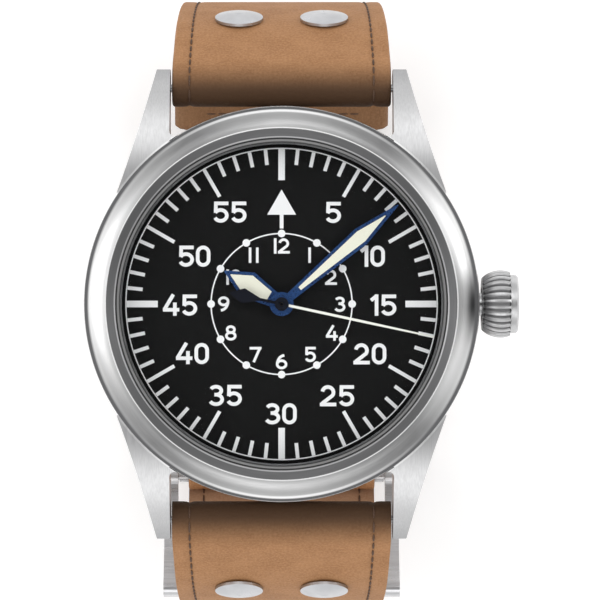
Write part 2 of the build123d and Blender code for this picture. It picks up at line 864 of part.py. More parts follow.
def stroke_face(points, width):
    """A pen stroke of even width along points, closed when its ends meet."""
    closed = hypot(points[0][0] - points[-1][0], points[0][1] - points[-1][1]) < snug_gap
    if closed:
        points = points[:-1]
    sides = ([], [])
    count = len(points)
    for index, point in enumerate(points):
        before = points[index - 1] if closed or index > 0 else point
        after = points[(index + 1) % count] if closed or index < count - 1 else point
        back = direction(before, point) if before != point else direction(point, after)
        ahead = direction(point, after) if after != point else direction(before, point)
        turn = (ahead - back + half_turn) % full_turn - half_turn
        reach = width / 2 / cos(radians(turn / 2))
        for side, quarter in zip(sides, (quarter_turn, -quarter_turn)):
            side.append(polar(reach, back + turn / 2 + quarter, point))
    if closed:
        faces = [make_face(Polyline(*side, close=True)) for side in sides]
        faces.sort(key=lambda face: face.area)
        return faces[1] - faces[0]
    return make_face(Polyline(*sides[0], *reversed(sides[1]), close=True))


def digit_face(digit, height):
    """One numeral, its lower left corner at the origin."""
    width = numeral_stroke_share * height
    face = Sketch()
    for stroke in digit_stroke_shares[digit]:
        points = []
        for curve in stroke:
            for point in curve_points(curve, height):
                if not points or hypot(point[0] - points[-1][0], point[1] - points[-1][1]) > snug_gap:
                    points.append(point)
        face += stroke_face(points, width)
    return face


def number_solids(number, height, place):
    """A number's digits, centred on a place of the dial."""
    digits = str(number)
    plain_one = height == hour_numeral_height
    names = ["bar" if digit == "1" and plain_one else digit for digit in digits]
    widths = [digit_width_shares[name] * height for name in names]
    space = eleven_space_share if digits == "11" else numeral_space_share
    gap = space * height
    x = place[0] - (sum(widths) + gap * (len(names) - 1)) / 2
    solids = []
    for name, width in zip(names, widths):
        face = Pos(x, place[1] - height / 2) * digit_face(name, height)
        solids.append(slab(face, dial_high, dial_high + print_height))
        x += width + gap
    return solids


def tick(minute, inner_radius, width):
    outer_radius = track_radius - track_line / 2 - snug_gap
    face = Pos((outer_radius + inner_radius) / 2, 0) * Rectangle(outer_radius - inner_radius, width)
    turned_face = Rot(0, 0, quarter_turn - minute * full_turn / minutes_round) * face
    return slab(turned_face, dial_high, dial_high + print_height)


def dial_markings():
    top = dial_high + print_height
    solids = [ring(track_radius + track_line / 2, track_radius - track_line / 2, dial_high, top)]
    for minute in range(minutes_round):
        if minute % (minutes_round // 4) == 0:
            solids.append(tick(minute, long_tick_inner_radius, bar_width))
        elif minute % minutes_per_hour_mark == 0:
            solids.append(tick(minute, long_tick_inner_radius, tick_width))
        else:
            solids.append(tick(minute, tick_inner_radius, tick_width))
    stem = triangle_stem_width / 2
    solids.append(slab(make_face(Polyline(
        (0, triangle_apex_y), (triangle_half_width, triangle_base_y), (stem, triangle_base_y),
        (stem, triangle_stem_low_y), (-stem, triangle_stem_low_y), (-stem, triangle_base_y),
        (-triangle_half_width, triangle_base_y), close=True)), dial_high, top))
    hour_ring = ring(hour_ring_radius + hour_ring_line / 2, hour_ring_radius - hour_ring_line / 2,
                     dial_high, top)
    for hour in range(hours_round):
        hour_ring += disc(hour_dot_radius, dial_high, top,
                          polar(hour_ring_radius, hour * full_turn / hours_round))
    solids.append(hour_ring)
    for number, (x, y) in {**numeral_place_shares, **numeral_place_shares_left}.items():
        solids += number_solids(number, numeral_height, (x * track_radius, y * track_radius))
    for number, (x, y) in {**hour_place_shares, **hour_place_shares_left}.items():
        solids += number_solids(number, hour_numeral_height,
                                (x * hour_ring_radius, y * hour_ring_radius))
    save("dial_markings", *solids)


# Hands


def lozenge(start, start_width, wide_at, width, length, tip_width):
    """Outline of a hand pointing along +X."""
    return make_face(Polyline(
        (start, start_width / 2), (wide_at, width / 2), (length, tip_width / 2),
        (length, -tip_width / 2), (wide_at, -width / 2), (start, -start_width / 2), close=True))


def lume_outline(lume_from, neck_width, wide_at, width, length, trim):
    """Luminous filling of a hand, inside its metal border."""
    neck_slope = (width - neck_width) / 2 / wide_at
    tip_angle = atan2(width / 2, length - wide_at)
    start_width = neck_width + 2 * neck_slope * lume_from - 2 * (hand_border + trim)
    return lozenge(lume_from + trim, start_width, wide_at,
                   width - 2 * (hand_border + trim) / cos(tip_angle),
                   length - (hand_border + trim) / sin(tip_angle), hand_tip_width / 2)


def filled_hand(node, low, bore, angle, length, wide_at, width, neck_width, lume_from):
    shape = (lume_from, neck_width, wide_at, width, length)
    blade = Sketch() + lozenge(0, neck_width, wide_at, width, length, hand_tip_width)
    blade = blade + Circle(hub_radius) - lume_outline(*shape, 0) - Circle(bore)
    save(node, Rot(0, 0, angle) * slab(blade, low, low + hand_thickness))
    lume = Rot(0, 0, angle) * slab(lume_outline(*shape, snug_gap), low, low + hand_thickness)
    save(node + "_lume", lume)


def hands():
    filled_hand("hour_hand", hour_hand_low, hour_pipe_radius + snug_gap, hour_hand_angle,
                hour_hand_length, hour_hand_wide_at, hour_hand_width, hour_hand_neck_width,
                hour_lume_from)
    filled_hand("minute_hand", minute_hand_low, cannon_radius + snug_gap, minute_hand_angle,
                minute_hand_length, minute_hand_wide_at, minute_hand_width,
                minute_hand_neck_width, minute_lume_from)


def seconds_hand():
    blade = lozenge(0, seconds_needle_width, seconds_length / 2, seconds_needle_width,
                    seconds_length, hand_tip_width)
    neck_end = seconds_tail_wide_at - (seconds_tail_length - seconds_tail_wide_at)
    neck = Pos(-neck_end / 2, 0) * Rectangle(neck_end, seconds_tail_neck)
    tail_head = lozenge(neck_end - seconds_tail_neck, seconds_tail_neck, seconds_tail_wide_at,
                        seconds_tail_width, seconds_tail_length, hand_tip_width)
    face = Sketch() + blade + neck + Rot(0, 0, half_turn) * tail_head
    face = face - Circle(seconds_hub_radius)
    hub = ring(seconds_hub_radius, seconds_arbor_radius + snug_gap, seconds_hand_low,
               seconds_hand_low + seconds_hub_height)
    body = slab(face, seconds_hand_low, seconds_hand_low + seconds_hand_thickness) + hub
    save("seconds_hand", Rot(0, 0, seconds_hand_angle) * body)


# Crown and stem


def crown_flute():
    """Round groove that follows the crown's swelling side."""
    arc = ThreePointArc((crown_base_radius + crown_flute_offset, 0),
                        (crown_wide_radius + crown_flute_offset, crown_wide_at),
                        (crown_flute_end_radius + crown_flute_offset, crown_flute_end_at))
    section = Plane(origin=arc @ 0, z_dir=arc % 0) * Circle(crown_flute_radius)
    return sweep(section, path=arc)


def crown():
    side = ThreePointArc((crown_base_radius, 0), (crown_wide_radius, crown_wide_at),
                         (crown_flute_end_radius, crown_flute_end_at))
    profile = make_face([
        side,
        Polyline((crown_flute_end_radius, crown_flute_end_at), (crown_cap_radius, crown_flute_end_at),
                 (crown_cap_radius, crown_length - crown_cap_bevel),
                 (crown_cap_radius - crown_cap_bevel, crown_length), (0, crown_length),
                 (0, 0), (crown_base_radius, 0))])
    body = revolve(Plane.XZ * profile, Axis.Z)
    flute = Plane.XZ * crown_flute()
    for index in range(crown_flutes):
        body -= Rot(0, 0, index * full_turn / crown_flutes) * flute
    body -= disc(crown_gasket_radius + snug_gap, -overrun, crown_bore_depth)
    body -= disc(stem_radius + snug_gap, 0, crown_thread_depth)
    save("crown", along_x(body, crown_base_x, 0, stem_z))
    gasket = ring(crown_gasket_radius, tube_radius + running_gap, crown_gasket_at,
                  crown_gasket_at + crown_gasket_length)
    save("crown_gasket", along_x(gasket, crown_base_x, 0, stem_z))


def crown_tube():
    body = ring(tube_radius, tube_inner_radius, tube_inside_x, case_radius + tube_outside)
    save("crown_tube", along_x(body, 0, 0, stem_z))


def winding_stem():
    end_x = crown_base_x + crown_thread_depth - snug_gap
    body = rod(stem_radius, stem_square_end_x, end_x, 0, stem_z)
    body -= along_x(ring(stem_radius + overrun, stem_groove_radius,
                         stem_groove_x - stem_groove_width / 2,
                         stem_groove_x + stem_groove_width / 2), 0, 0, stem_z)
    square = slab(Rectangle(stem_square_side, stem_square_side), stem_pivot_end_x,
                  stem_square_end_x)
    body += along_x(square, 0, 0, stem_z)
    body += rod(stem_pivot_radius, stem_inner_x, stem_pivot_end_x, 0, stem_z)
    save("winding_stem", body)


# Spring bars


def spring_bars():
    tube_reach = lug_gap / 2 - bar_flange_gap - bar_flange_thickness - bar_travel - running_gap
    bore = bar_radius - bar_spring_wall
    tube = along_x(ring(bar_radius, bore, -tube_reach, tube_reach), 0, bar_y, bar_z)
    save("spring_bar_tubes", tube, mirrored_y(tube))
    flange_x = lug_gap / 2 - bar_flange_gap
    end_x = lug_gap / 2 + bar_hole_depth - bar_tip_gap
    tip = rod(bar_tip_radius, flange_x, end_x, bar_y, bar_z)
    tip += rod(bar_flange_radius, flange_x - bar_flange_thickness, flange_x, bar_y, bar_z)
    tip += rod(bore - running_gap, flange_x - bar_flange_thickness - bar_shank_length,
               flange_x - bar_flange_thickness, bar_y, bar_z)
    left = mirror(tip, about=Plane.YZ)
    save("spring_bar_tip_12_right", tip)
    save("spring_bar_tip_12_left", left)
    save("spring_bar_tip_6_right", mirrored_y(tip))
    save("spring_bar_tip_6_left", mirrored_y(left))


# Strap


def strap_width_cutter():
    """The strap seen along Y, wide at the lugs and narrower below."""
    top = strap_width_top / 2
    low = strap_width_bottom / 2
    reach = side_y + strap_thickness
    face = make_face(Polyline(
        (-top, reach), (-top, bar_z), (-low, side_centre[1]), (-low, -2 * reach), (low, -2 * reach),
        (low, side_centre[1]), (top, bar_z), (top, reach), close=True))
    return extrude(Plane.XZ * face, amount=reach, both=True)


def strap_upper(bends, bar_centre):
    """Half of the strap that wraps a spring bar."""
    side = Sketch() + band(bends, -half_strap, half_strap)
    side += Pos(*bar_centre) * Circle(strap_wrap_radius)
    side -= Pos(*bar_centre) * Circle(bar_radius + running_gap)
    return across(side, strap_width_top / 2) & strap_width_cutter()


def cut_angle(radius):
    """Half of the gap where two stretches of strap meet, as an angle."""
    return degrees(strap_flex_gap / 2 / radius)


def root_bends():
    return [(root_centre, strap_root_bend, strap_root_heading + quarter_turn,
             strap_knee_heading + quarter_turn),
            (side_centre, strap_side_bend, strap_knee_heading + quarter_turn, 0)]


def strap_short_upper():
    bends = root_bends()
    bends.append((front_corner, front_bend, 0, flex_pin_angle + cut_angle(front_bend)))
    body = strap_upper(bends, bar_place)
    for hole in rivet_places(rivet_shank_radius + snug_gap, -overrun, strap_thickness + overrun):
        body -= hole
    save("strap_short_upper", body)


def strap_long_upper():
    bends = []
    for centre_of_bend, radius, start, end in root_bends():
        bends.append(((-centre_of_bend[0], centre_of_bend[1]), radius, -half_turn - start,
                      -half_turn - end))
    bends.append((back_corner, long_bend, -half_turn, buckle_pin_angle - cut_angle(eye_distance)))
    body = strap_upper(bends, (-bar_y, bar_z))
    for hole in rivet_places(rivet_shank_radius + snug_gap, -overrun, strap_thickness + overrun):
        body -= mirrored_y(hole)
    save("strap_long_upper", body - tongue_slot())


def tongue_slot():
    """Opening in the strap that lets the tongue through and lift a little."""
    far = polar(buckle_length, tongue_angle, buckle_pin)
    lifted = polar(buckle_length, tongue_angle + tongue_lift, buckle_pin)
    face = Sketch() + make_face(Polyline(buckle_pin, far, lifted, close=True))
    for end in (far, lifted):
        middle = ((buckle_pin[0] + end[0]) / 2, (buckle_pin[1] + end[1]) / 2)
        face += Pos(*middle) * Rot(0, 0, direction(buckle_pin, end)) * Rectangle(
            buckle_length, tongue_height + 2 * tongue_slot_play)
    return across(face, tongue_slot_width / 2)


def strap_short_lower():
    bends = [(front_corner, front_bend, flex_pin_angle - cut_angle(front_bend), -quarter_turn),
             (back_corner, strap_corner_bend, -quarter_turn, buckle_pin_angle)]
    side = Sketch() + band(bends, -half_strap, half_strap)
    side += Pos(*buckle_pin) * Circle(buckle_wrap_radius)
    side -= Pos(*buckle_pin) * Circle(buckle_bar_radius + running_gap)
    body = across(side, strap_width_bottom / 2)
    eye = Pos(*buckle_pin) * Circle(tongue_eye_radius + leather_gap * 2)
    save("strap_short_lower", body - across(eye, tongue_slot_width / 2)
         - across(Pos(*polar(buckle_wrap_radius, tongue_angle, buckle_pin))
                  * Circle(buckle_wrap_radius), tongue_slot_width / 2))


def strap_long_tail():
    inside = half_strap + leather_gap
    outside = inside + tail_thickness
    tip_angle = flex_pin_angle - degrees(tail_tip_back / front_bend)
    bends = [(front_corner, front_bend, tip_angle, -quarter_turn),
             (back_corner, strap_corner_bend, -quarter_turn,
              buckle_pin_angle + cut_angle(eye_distance))]
    body = across(band(bends, inside, outside), strap_width_bottom / 2)
    tip_y = front_corner[0] + (front_bend + inside) * cos(radians(tip_angle))
    plan = Pos((tip_y - side_y) / 2, 0) * RectangleRounded(tip_y + side_y, strap_width_bottom,
                                                           tail_tip_radius)
    cutter = Rot(0, 0, quarter_turn) * slab(plan, 2 * bottom_z, 0)
    body = body & cutter
    for hole in range(strap_hole_count):
        y = strap_hole_first_y + hole * strap_hole_pitch
        body -= disc(strap_hole_radius, 2 * bottom_z, 0, (0, y))
    save("strap_long_tail", body)


def rivet_places(radius, low, high):
    """Round bodies through the strap at the two rivets, from its inner face outwards."""
    angle = rivet_angle
    place = polar(strap_side_bend - half_strap, angle, side_centre)
    bodies = []
    for x in (-rivet_spacing / 2, rivet_spacing / 2):
        body = Rot(angle - quarter_turn, 0, 0) * disc(radius, low, high)
        bodies.append(Pos(x, place[0], place[1]) * body)
    return bodies


def rivets():
    angle = rivet_angle
    place = polar(strap_side_bend - half_strap, angle, side_centre)
    top = strap_thickness + snug_gap
    back = -rivet_back_sink
    side = make_face([
        Polyline((0, top + rivet_dome_height), (0, back - rivet_back_height),
                 (rivet_back_radius, back - rivet_back_height), (rivet_back_radius, back),
                 (rivet_shank_radius, back), (rivet_shank_radius, top),
                 (rivet_radius, top), (rivet_radius, top + rivet_rim_height)),
        dome_edge(rivet_radius, top + rivet_rim_height, top + rivet_dome_height)])
    rivet = revolve(Plane.XZ * side, Axis.Z)
    pair = []
    for x in (-rivet_spacing / 2, rivet_spacing / 2):
        pair.append(Pos(x, place[0], place[1]) * Rot(angle - quarter_turn, 0, 0) * rivet)
    save("rivets_short", *pair)
    save("rivets_long", *[mirrored_y(body) for body in pair])


# Buckle and keepers


def buckle_frame():
    inner_x = strap_width_bottom / 2 + buckle_arm_gap
    outer_x = inner_x + buckle_arm_width
    middle = polar(long_bend, (buckle_pin_angle + frame_bar_angle) / 2, back_corner)
    spine = ThreePointArc(buckle_pin, middle, frame_bar_place)
    side = Sketch() + trace(spine, 2 * buckle_bar_half_height)
    side += Pos(*buckle_pin) * Circle(buckle_eye_radius)
    side += Pos(*frame_bar_place) * Circle(buckle_bar_half_height)
    arm_pair = across(side, outer_x) - across(side, inner_x)
    end_bar = across(Pos(*frame_bar_place) * Circle(buckle_bar_half_height), outer_x)
    hole_reach = inner_x + buckle_hole_depth
    hole = rod(bar_hole_radius, -hole_reach, hole_reach, *buckle_pin)
    save("buckle_frame", arm_pair + end_bar - hole)


def buckle_bar():
    inner_x = strap_width_bottom / 2 + buckle_arm_gap
    reach = inner_x - leather_gap
    tip_reach = inner_x + buckle_hole_depth - bar_tip_gap
    body = rod(buckle_bar_radius, -reach, reach, *buckle_pin)
    body += rod(bar_tip_radius, -tip_reach, tip_reach, *buckle_pin)
    save("buckle_bar", body)


def buckle_tongue():
    tip = polar(tongue_length, tongue_angle, buckle_pin)
    middle = ((tip[0] + buckle_pin[0]) / 2, (tip[1] + buckle_pin[1]) / 2)
    side = Sketch() + Pos(*middle) * Rot(0, 0, tongue_angle) * SlotCenterToCenter(
        tongue_length, tongue_height)
    side += Pos(*buckle_pin) * Circle(tongue_eye_radius)
    side -= Pos(*buckle_pin) * Circle(buckle_bar_radius + running_gap)
    save("buckle_tongue", across(side, tongue_width / 2))


def keeper(length, height, half_width):
    """Leather loop lying flat, round a strap of this height, its middle at the origin."""
    outer = RectangleRounded(2 * (half_width + keeper_wall), height + 2 * keeper_wall,
                             keeper_corner_radius + keeper_wall / 2)
    inner = RectangleRounded(2 * half_width, height, keeper_corner_radius / 2)
    return extrude(Plane.XZ * (outer - inner), amount=length / 2, both=True)


def keepers():
    stack = strap_thickness + leather_gap + tail_thickness
    half_width = strap_width_bottom / 2 + keeper_side_gap
    middle_z = bottom_z + half_strap - stack / 2
    save("fixed_keeper", Pos(0, fixed_keeper_y, middle_z)
         * keeper(keeper_length, stack + 2 * fixed_keeper_gap, half_width))
    inner_face = front_bend - half_strap - free_keeper_inner_gap
    outer_face = front_bend - half_strap + stack + free_keeper_outer_gap
    place = polar((inner_face + outer_face) / 2, free_keeper_angle, front_corner)
    save("free_keeper", Pos(0, *place) * Rot(free_keeper_angle + quarter_turn, 0, 0)
         * keeper(keeper_length, outer_face - inner_face, half_width))


# Movement: plate and bridges


def stem_tunnel(radius, start_x, end_x):
    return rod(radius, start_x, end_x, 0, stem_z)


lever_pivot = (stem_groove_x, lever_arm)
lever_pin = (stem_groove_x, 0)
lever_pulled_pin = polar(lever_arm, -quarter_turn + lever_turn, lever_pivot)
yoke_pin = (sliding_pinion_x + sliding_pinion_length / 2, 0)
yoke_pivot = (yoke_pin[0], -yoke_arm)
yoke_pulled_pin = polar(yoke_arm, quarter_turn + yoke_turn, yoke_pivot)


def swept_arm(pivot, start, end, width, low, high):
    """Room for an arm and for its swing from one place to the other."""
    return (arm(pivot, start, width, low, high) + arm(pivot, end, width, low, high)
            + arm(start, end, width, low, high))


def bearing_hole(place, radius=pivot_radius + pivot_gap):
    return disc(radius, plate_low - overrun, plate_low + bearing_depth, place)


def main_plate():
    floor = dial_low - plate_channel_depth
    body = disc(plate_radius, plate_low, dial_low)
    minute_reach = pitch_radius(minute_wheel_teeth, motion_module) + motion_room
    setting_reach = pitch_radius(setting_wheel_teeth, motion_module) + motion_room
    body -= disc(pitch_radius(hour_wheel_teeth, pinion_module) + motion_room, floor,
                 dial_low + overrun)
    body -= disc(minute_reach, floor, dial_low + overrun, minute_wheel_place)
    body -= disc(setting_reach, floor, dial_low + overrun, setting_wheel_place)
    pocket_end = winding_pinion_x + winding_pinion_length + motion_room / 2
    pocket = Pos((stem_pivot_end_x + pocket_end) / 2, 0) * Rectangle(
        pocket_end - stem_pivot_end_x, 2 * (winding_pinion_radius + motion_room))
    body -= slab(pocket, 0, stem_z + winding_pinion_radius + motion_room / 2)
    body -= stem_tunnel(stem_radius + running_gap, pocket_end - overrun, plate_radius + overrun)
    room = lever_width + motion_room
    body -= swept_arm(lever_pivot, lever_pin, lever_pulled_pin, room, floor, dial_low + overrun)
    body -= swept_arm(yoke_pivot, yoke_pin, yoke_pulled_pin, room, floor, dial_low + overrun)
    pin_room = 2 * (lever_pin_radius + running_gap) + motion_room
    body -= arm(lever_pin, lever_pulled_pin, pin_room, 0, dial_low)
    body -= bearing_hole(centre, arbor_radius + pivot_gap)
    body -= disc(arbor_radius + pivot_gap, 0, dial_low, centre)
    for place in (third_place, escape_place, balance_place):
        body -= bearing_hole(place)
    body -= bearing_hole(barrel_place, barrel_pivot_radius + pivot_gap)
    for foot_angle in dial_foot_angles:
        body -= disc(dial_foot_radius + snug_gap, 0, dial_low + overrun,
                     polar(dial_foot_place, foot_angle))
    for place in screw_places:
        body -= disc(screw_shank_radius + snug_gap, 0, plate_low + screw_bite, place)
    stud_top = minute_pinion_high
    body += disc(stud_radius, floor, stud_top, minute_wheel_place)
    body += disc(stud_radius, floor, setting_wheel_high + running_gap, setting_wheel_place)
    for place in (lever_pivot, yoke_pivot):
        body += disc(stud_radius, floor, lever_high + running_gap, place)
    body += disc(pallet_stud_radius, pallet_stone_low, plate_low, pallet_place)
    block = Pos((stem_inner_x + stem_pivot_end_x - running_gap) / 2, 0) * Rectangle(
        stem_pivot_end_x - running_gap - stem_inner_x, stem_block_width)
    body += slab(block, stem_z - stem_pivot_radius - stem_block_wall, plate_low)
    body -= stem_tunnel(stem_pivot_radius + running_gap, stem_inner_x - overrun,
                        stem_pivot_end_x + overrun)
    save("main_plate", body)


def movement_ring():
    body = ring(holder_outer_radius, plate_radius + running_gap, back_neck_top + running_gap,
                dial_low)
    body -= stem_tunnel(tube_inner_radius, plate_radius, case_radius)
    save("movement_ring", body)


foot_places = [third_foot_place, third_foot_place_left, escape_foot_place]
wall_screw_places = [polar((bridge_edge_radius + bridge_wall_radius) / 2, wall_screw_angle)
                     for wall_screw_angle in wall_screw_angles]
screw_places = foot_places + [cock_foot_place] + wall_screw_places


def barrel_bridge():
    left = barrel_bridge_left
    inner = barrel_bridge_inner_x
    low = barrel_bridge_low_right_y
    low_left = barrel_bridge_low_y
    reach = plate_radius
    region = make_face(Polyline((inner, low), (reach, low), (reach, reach), (left, reach),
                                (left, low_left), (inner, low_left), close=True))
    body = slab((Sketch() + Circle(bridge_edge_radius)) & region, barrel_bridge_low,
                barrel_bridge_high)
    wall = (Sketch() + Circle(bridge_edge_radius) - Circle(bridge_wall_radius)) & region
    body += slab(wall, barrel_bridge_high, plate_low)
    body -= disc(pitch_radius(fourth_teeth, escape_module) + motion_room, 0, plate_low)
    body -= disc(crown_wheel_rim_radius + motion_room, 0, stem_z - winding_pinion_radius,
                 crown_wheel_place)
    body -= disc(barrel_post_radius + running_gap, 0, plate_low, barrel_place)
    body -= stem_tunnel(stem_radius + motion_room, bridge_wall_radius - overrun,
                        plate_radius + overrun)
    for place in wall_screw_places:
        body -= disc(screw_shank_radius + snug_gap, 0, plate_low + overrun, place)
    body += disc(stud_radius, click_low, barrel_bridge_low, click_place)
    body += disc(foot_radius / 2, crown_wheel_finger_low, barrel_bridge_low,
                 crown_wheel_finger_place)
    body += arm(crown_wheel_finger_place, crown_wheel_place, foot_radius,
                crown_wheel_finger_low, crown_wheel_finger_high)
    body += disc(stud_radius, crown_wheel_finger_high, barrel_bridge_high, crown_wheel_place)
    save("barrel_bridge", body)


def bridge_foot(place, low):
    return (disc(foot_radius, low, plate_low, place)
            - disc(screw_shank_radius + snug_gap, 0, plate_low + overrun, place))


def train_bridge():
    low, high = train_bridge_low, train_bridge_high
    stops = [third_foot_place, third_place, third_foot_place_left]
    body = arm(third_place, centre, bridge_arm_width, low, high)
    for start, end in zip(stops, stops[1:]):
        body += arm(start, end, bridge_arm_width, low, high)
    body += arm(centre, escape_place, bridge_arm_width, low, high)
    body += arm(escape_place, escape_foot_place, bridge_arm_width, low, high)
    for place in foot_places:
        body -= disc(screw_shank_radius + snug_gap, 0, plate_low, place)
        body += bridge_foot(place, low)
    for place in (third_place, centre, escape_place):
        body -= disc(pivot_radius + pivot_gap, high - bearing_depth, high + overrun, place)
    save("train_bridge", body)


def balance_cock():
    body = arm(cock_foot_place, balance_place, bridge_arm_width, cock_low, cock_high)
    body -= disc(screw_shank_radius + snug_gap, 0, plate_low, cock_foot_place)
    body += bridge_foot(cock_foot_place, cock_low)
    body -= disc(pivot_radius + pivot_gap, cock_high - bearing_depth, cock_high + overrun,
                 balance_place)
    save("balance_cock", body)


def screw(place, seat):
    """Slotted screw whose head bears on a bridge from below."""
    head = disc(screw_head_radius, seat - screw_head_height, seat, place)
    slot = Pos(*place) * slab(Rectangle(3 * screw_head_radius, screw_slot_width),
                              seat - screw_head_height - overrun,
                              seat - screw_head_height + screw_slot_depth)
    return head - slot + disc(screw_shank_radius, seat, plate_low + screw_bite - running_gap, place)


def movement_screws():
    screws = [screw(place, train_bridge_low) for place in foot_places]
    screws.append(screw(cock_foot_place, cock_low))
    screws += [screw(place, barrel_bridge_low) for place in wall_screw_places]
    save("movement_screws", *screws)


# Movement: going train


def arbor(place, low, high, bridge_top, radius=arbor_radius):
    """Arbor with a thin pivot at each end, one in a bridge and one in the plate."""
    return (disc(radius, low, high, place)
            + disc(pivot_radius, bridge_top - bearing_depth + running_gap, low, place)
            + disc(pivot_radius, high, plate_low + bearing_depth - running_gap, place))


def barrel():
    body = gear(barrel_teeth, barrel_module, barrel_rim_low, barrel_rim_high, barrel_place,
                meshed_angle(centre_pinion_teeth, 0, barrel_teeth, barrel_angle))
    body += disc(barrel_drum_radius, barrel_low, barrel_high, barrel_place)
    body -= disc(barrel_drum_radius - barrel_wall, barrel_low + barrel_wall,
                 barrel_high - barrel_wall, barrel_place)
    body -= disc(barrel_post_radius + running_gap, 0, plate_low, barrel_place)
    save("barrel_drum", body)
    low = barrel_low + barrel_wall + running_gap
    save("mainspring", Pos(*barrel_place) * spiral(
        barrel_core_radius, barrel_drum_radius - barrel_wall - running_gap, mainspring_turns,
        mainspring_strip, low, low + mainspring_height))


def spiral(inner_radius, outer_radius, turns, strip, low, high):
    """Flat spiral strip of half-round bends, each wider than the last."""
    halves = 2 * turns
    step = (outer_radius - inner_radius - strip) / halves
    edges = []
    ends = []
    for side in (-strip / 2, strip / 2):
        previous = None
        for half in range(halves):
            radius = inner_radius + strip / 2 + step * half + side
            middle = (0, 0) if half % 2 == 0 else (step, 0)
            start = 0 if half % 2 == 0 else half_turn
            points = [polar(radius, start + part * quarter_turn, middle) for part in range(3)]
            edges.append(ThreePointArc(*points))
            if previous is None:
                ends.append([points[0]])
            previous = points[2]
        ends[-1].append(previous)
    edges.append(Line(ends[0][0], ends[1][0]))
    edges.append(Line(ends[0][1], ends[1][1]))
    return slab(make_face(edges), low, high)


def centre_wheel():
    body = gear(centre_teeth, centre_module, centre_wheel_low, centre_wheel_low + wheel_thickness)
    body = spoked(body, pitch_radius(centre_teeth, centre_module) * rim_share,
                  arbor_radius + hub_wall, wheel_spokes, spoke_width, 0, plate_low, centre)
    body += gear(centre_pinion_teeth, barrel_module, centre_pinion_low, centre_pinion_high)
    body += disc(arbor_radius, centre_pinion_low, minute_hand_low - running_gap)
    body -= disc(seconds_arbor_radius + pivot_gap, 0, case_top)
    save("centre_wheel", body)


def third_wheel():
    wheel_angle = meshed_angle(fourth_pinion_teeth, 0, third_teeth, third_angle)
    body = gear(third_teeth, third_module, third_wheel_low, third_wheel_low + wheel_thickness,
                third_place, wheel_angle)
    body = spoked(body, pitch_radius(third_teeth, third_module) * rim_share,
                  arbor_radius + hub_wall, wheel_spokes, spoke_width, 0, plate_low, third_place)
    pinion_angle = meshed_angle(centre_teeth, 0, third_pinion_teeth, third_angle)
    body += gear(third_pinion_teeth, centre_module, third_pinion_low, third_pinion_high,
                 third_place, pinion_angle)
    body += arbor(third_place, train_bridge_high + running_gap, plate_low - running_gap,
                  train_bridge_high)
    save("third_wheel", body)


def fourth_wheel():
    body = gear(fourth_teeth, escape_module, fourth_wheel_low, fourth_wheel_low + wheel_thickness)
    body = spoked(body, pitch_radius(fourth_teeth, escape_module) * rim_share,
                  arbor_radius + hub_wall, wheel_spokes, spoke_width, 0, plate_low, centre)
    body += gear(fourth_pinion_teeth, third_module, fourth_pinion_low, fourth_pinion_high)
    low = train_bridge_high + running_gap
    body += disc(arbor_radius, low, fourth_pinion_high)
    body += disc(pivot_radius, train_bridge_high - bearing_depth + running_gap, low)
    body += disc(seconds_arbor_radius, fourth_pinion_high, seconds_hand_low + seconds_hub_height)
    save("fourth_wheel", body)


def escape_wheel():
    pinion_angle = meshed_angle(fourth_teeth, 0, escape_pinion_teeth, escape_angle)
    high = escape_wheel_low + escape_wheel_thickness
    points = []
    step = full_turn / escape_teeth
    root = escape_radius * escape_root_share
    for tooth in range(escape_teeth):
        angle = escape_angle - escape_lead + tooth * step
        points.append(polar(root, angle))
        points.append(polar(escape_radius, angle + step * escape_back_share))
        points.append(polar(escape_radius, angle + step * escape_tip_share))
        points.append(polar(root, angle + step * escape_face_share))
    body = Pos(*escape_place) * slab(make_face(Polyline(*points, close=True)), escape_wheel_low,
                                     high)
    body = spoked(body, root * rim_share, arbor_radius + hub_wall / 2, wheel_spokes,
                  spoke_width / 2, 0, plate_low, escape_place)
    body += gear(escape_pinion_teeth, escape_module, escape_pinion_low, escape_pinion_high,
                 escape_place, pinion_angle)
    body += arbor(escape_place, train_bridge_high + running_gap, plate_low - running_gap,
                  train_bridge_high, pinion_arbor_radius)
    save("escape_wheel", body)


def pallet_fork():
    high = pallet_low + pallet_thickness
    to_wheel = pallet_angle + half_turn
    fork_reach = balance_distance - impulse_place
    fork_end = polar(fork_reach + impulse_pin_radius, pallet_angle, pallet_place)
    body = arm(pallet_place, fork_end, fork_width, pallet_low, high)
    slot_start = polar(fork_reach - fork_slot_width, pallet_angle, pallet_place)
    body -= arm(slot_start, polar(overrun, pallet_angle, fork_end), fork_slot_width, 0, plate_low)
    for side in (-1, 1):
        tip = polar(pallet_reach, to_wheel + side * pallet_spread, pallet_place)
        body += arm(pallet_place, tip, pallet_arm_width, pallet_low, high)
        stone = Pos(*tip) * Rot(0, 0, to_wheel + side * pallet_spread / 2) * slab(
            Rectangle(pallet_stone_reach, pallet_stone_width), pallet_stone_low, high)
        body += stone
    body += disc(pallet_stud_radius + hub_wall / 2, pallet_low, high, pallet_place)
    body -= disc(pallet_stud_radius + pivot_gap, 0, plate_low, pallet_place)
    save("pallet_fork", body)


